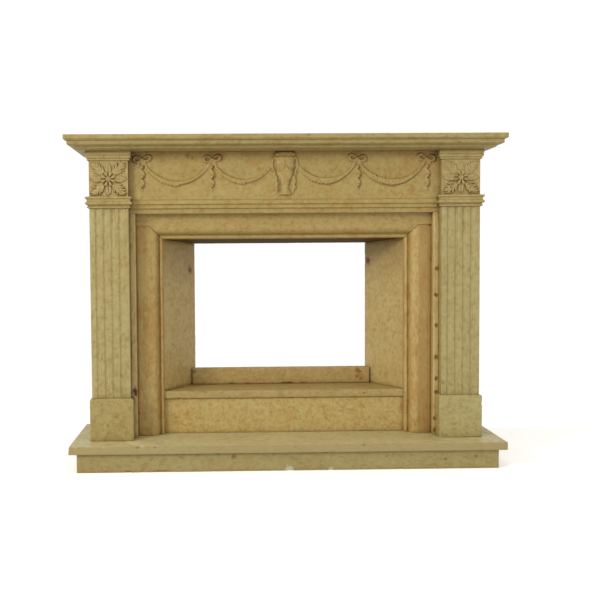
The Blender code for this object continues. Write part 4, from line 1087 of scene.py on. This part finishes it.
behind = FRAME_BACK + GAP
poly = [(-edge, TOP_FRONT), (edge, TOP_FRONT), (edge, behind), (CHEEK_HALF, behind), (CHEEK_HALF, DEPTH),
        (-CHEEK_HALF, DEPTH), (-CHEEK_HALF, behind), (-edge, behind)]
levels = [(0.008, TOP_BOTTOM), (0.0035, TOP_BOTTOM + 0.0004), (0.0012, TOP_BOTTOM + 0.0018), (0, TOP_BOTTOM + 0.0045)]
levels += [(0, TOP_BOTTOM + 0.0045 + 0.0045 * k) for k in range(1, 5)]
levels += [(0, TOP_TOP - 0.0055), (0.0014, TOP_TOP - 0.0024), (0.0042, TOP_TOP - 0.0005), (0.0085, TOP_TOP), (0.011, TOP_TOP)]
rings = prism_rings(poly, [1, 0, 0, 0, 0, 0, 0, 0], levels, [0, 0, 0, 0, 0, 0, 0, 0], divide(poly, [0.005, .006, .01, .02, .06, .02, .01, .006]))
top = loft("inner_hearth_top_stone", rings, weld=True)
weather(top, 43, rub=0.0006, chip=0.0014, often=0.42, spare=lambda X, Dp, Z: np.abs(X) > OPENING_HALF - 0.0006, dents=[((-0.455, y(TOP_FRONT), TOP_BOTTOM + 0.003), 0.008, 0.003)])
place(top, "inner_hearth_top", marble(
    "marble_inner_top", 43, light=lin(186, 164, 106), mid=lin(174, 150, 94), warm=lin(166, 132, 70), cloud=0.5, mottle=0.40, fleck=0.30,
    vein=0.30, stretch=(0.7, 1, 1), shade_and_grime=0.6, rough=0.36, tint=0.83,
    spots=[((-0.455, y(TOP_FRONT), TOP_BOTTOM + 0.002), 0.007, lin(84, 52, 22), 0.9), ((0.345, y(TOP_FRONT), TOP_BOTTOM + 0.018), 0.007, lin(96, 62, 28), 0.8)]))


def jamb_x(depth):
    t = (depth - behind) / (DEPTH - behind)
    return JAMB_FRONT_X + (JAMB_BACK_X - JAMB_FRONT_X) * t


def lintel_z(depth):
    return LINTEL_FRONT_Z - LINTEL_SLOPE * (depth - FRAME_BACK)


poly = [(-jamb_x(KERB_FRONT) + KERB_GAP, KERB_FRONT), (jamb_x(KERB_FRONT) - KERB_GAP, KERB_FRONT),
        (jamb_x(KERB_BACK) - KERB_GAP, KERB_BACK), (-jamb_x(KERB_BACK) + KERB_GAP, KERB_BACK)]
levels = eased_levels(TOP_TOP + GAP, KERB_TOP, 0.0016, 10)
rings = prism_rings(poly, [1, 1, 1, 1], levels, [0.0015] * 4, divide(poly, [0.006, 0.006, 0.012, 0.006]))
kerb = loft("kerb_stone", rings)
weather(kerb, 45, rub=0.0007, chip=0.0022, often=0.38)
place(kerb, "inner_hearth_kerb", marble(
    "marble_kerb", 45, light=lin(184, 160, 102), mid=lin(172, 146, 88), warm=lin(166, 130, 66), cloud=0.4, mottle=0.45, fleck=0.40,
    vein=0.30, shade_and_grime=0.55, tint=0.90,
    spots=[((0.352, y(KERB_FRONT), 0.332), 0.020, lin(160, 108, 42), 0.70), ((0.348, y(KERB_FRONT), 0.352), 0.013, lin(124, 76, 30), 0.85),
           ((0.360, y(KERB_FRONT), 0.345), 0.008, lin(112, 66, 26), 0.9), ((0.345, y(KERB_FRONT), 0.322), 0.010, lin(128, 80, 32), 0.8),
           ((0.362, y(KERB_FRONT), 0.314), 0.010, lin(136, 82, 32), 0.8), ((-0.396, y(KERB_FRONT), 0.352), 0.014, lin(126, 74, 30), 0.8)]))

wall = math.hypot(JAMB_FRONT_X - JAMB_BACK_X, DEPTH - behind)
thick_x = JAMB_THICK * wall / (DEPTH - behind)
for side, name in ((-1, "left"), (1, "right")):
    poly = [(jamb_x(DEPTH), DEPTH), (jamb_x(behind), behind), (jamb_x(behind) + thick_x, behind), (jamb_x(DEPTH) + thick_x, DEPTH)]
    z0 = TOP_TOP + GAP
    levels = [(0.003, z0), (0.0006, z0), (0, z0 + 0.001)]
    rows = 44
    for k in range(1, rows):
        levels.append((0, (lambda t: (lambda d: z0 + (lintel_z(d) - GAP - z0) * t))(k / rows)))
    levels += [(0, lambda d: lintel_z(d) - GAP - 0.001), (0.0006, lambda d: lintel_z(d) - GAP), (0.003, lambda d: lintel_z(d) - GAP)]
    rings = prism_rings(poly, [1, 0, 0, 0], levels, [0.0016, 0.001, 0, 0], divide(poly, [0.010, 0.01, 0.02, 0.01]), side)
    jamb = loft(name + "_jamb_stone", rings)
    if side < 0:
        knot = ((-jamb_x(0.470), y(0.470), 0.8120), 0.0250)
    else:
        knot = ((jamb_x(0.488), y(0.488), 0.8480), 0.0230)
    weather(jamb, 47 + side, rub=0.0006, chip=0.0016, often=0.42, dents=[(knot[0], 0.005, 0.002)])
    # darker towards the top, under the lintel: painted shade
    place(jamb, name + "_firebox_jamb", marble(
        "marble_jamb_" + name, 47 + side, light=lin(180, 160, 106), mid=lin(168, 146, 92), warm=lin(158, 128, 70), cloud=0.5,
        mottle=0.26, fleck=0.16, vein=0.20, stretch=(1, 1, 0.85), shade_and_grime=0.5, streak=0.05, tint=1.13,
        spots=[(knot[0], knot[1] * 1.12, lin(124, 74, 34), 0.88), (knot[0], knot[1] * 0.55, lin(70, 36, 14), 0.85)],
        fade=(2, 0.70, 0.94, 0.35, lin(116, 84, 44))))

section_n = 40
poly = [(behind, LINTEL_FRONT_Z), (DEPTH, lintel_z(DEPTH)), (DEPTH, lintel_z(DEPTH) + LINTEL_THICK), (behind, lintel_z(behind) + LINTEL_THICK)]
pts = []
for i in range(4):
    a, b = Vector(poly[i]), Vector(poly[(i + 1) % 4])
    k = 20 if i in (0, 2) else 3
    pts += [a + (b - a) * (j / k) for j in range(k)]
xs_l = np.linspace(-CHEEK_HALF, CHEEK_HALF, 90)
rings = np.array([[(xv, y(p.x), p.y) for p in pts] for xv in xs_l])
lintel = loft("lintel_stone", rings)
weather(lintel, 51, rub=0.0005, chip=0.0012, often=0.45, wave=0.0003)
# its underside is painted nearly black-brown: painted shade, with soot
place(lintel, "firebox_lintel", marble(
    "marble_lintel", 51, light=lin(172, 150, 98), mid=lin(158, 134, 82), warm=lin(150, 116, 60), cloud=0.4, mottle=0.4, fleck=0.25,
    vein=0.2, shade_and_grime=0.8, tint=0.85, rough=0.75, fade=(2, 0.9600, 0.9515, 0.96, lin(84, 60, 26))))
lintel.data.materials[0].node_tree.nodes["Principled BSDF"].inputs["Specular IOR Level"].default_value = 0.12

# ====================================================== floor, light and world
scene = bpy.context.scene
me = bpy.data.meshes.new("floor")
me.from_pydata([(-7, -7, -0.0004), (7, -7, -0.0004), (7, 0.62, -0.0004), (-7, 0.62, -0.0004)], [], [(0, 1, 2, 3)])
floor = bpy.data.objects.new("floor", me)
scene.collection.objects.link(floor)
fm = bpy.data.materials.new("pale_floor")
fm.use_nodes = True
fb = fm.node_tree.nodes["Principled BSDF"]
fb.inputs["Base Color"].default_value = (0.93, 0.93, 0.92, 1)
fb.inputs["Roughness"].default_value = 0.9
fb.inputs["Specular IOR Level"].default_value = 0.1
fb.inputs["Emission Color"].default_value = (1, 1, 1, 1)
fb.inputs["Emission Strength"].default_value = 0.34
me.materials.append(fm)
floor.visible_diffuse = False

world = bpy.data.worlds.new("studio")
scene.world = world
world.use_nodes = True
nt = world.node_tree
bg = nt.nodes["Background"]
bg.inputs["Color"].default_value = (1.0, 0.98, 0.90, 1)
bg.inputs["Strength"].default_value = 0.66
seen = nt.nodes.new("ShaderNodeBackground")
seen.inputs["Color"].default_value = (1, 1, 1, 1)
seen.inputs["Strength"].default_value = 1.05
pick = nt.nodes.new("ShaderNodeMixShader")
ray = nt.nodes.new("ShaderNodeLightPath")
nt.links.new(ray.outputs["Is Camera Ray"], pick.inputs[0])
nt.links.new(bg.outputs[0], pick.inputs[1])
nt.links.new(seen.outputs[0], pick.inputs[2])
nt.links.new(pick.outputs[0], nt.nodes["World Output"].inputs[0])


def soft_light(name, at, aim, size, power, colour=(1, 1, 1)):
    data = bpy.data.lights.new(name, "AREA")
    data.shape = "SQUARE"
    data.size = size
    data.energy = power
    data.color = colour
    obj = bpy.data.objects.new(name, data)
    scene.collection.objects.link(obj)
    obj.location = at
    obj.rotation_mode = "QUATERNION"
    obj.rotation_quaternion = (Vector(aim) - Vector(at)).to_track_quat("-Z", "Y")


soft_light("key", (-4.6, -4.4, 3.0), (0, 0, 0.8), 1.7, 208, (1.0, 0.98, 0.90))
soft_light("fill", (4.2, -5.2, 1.4), (0, 0, 0.7), 3.2, 60, (0.97, 0.985, 1.0))
soft_light("sky", (0.0, -2.2, 5.2), (0, 0, 0.3), 3.0, 45, (1.0, 1.0, 0.98))

scene.view_settings.view_transform = "Standard"
scene.view_settings.look = "None"
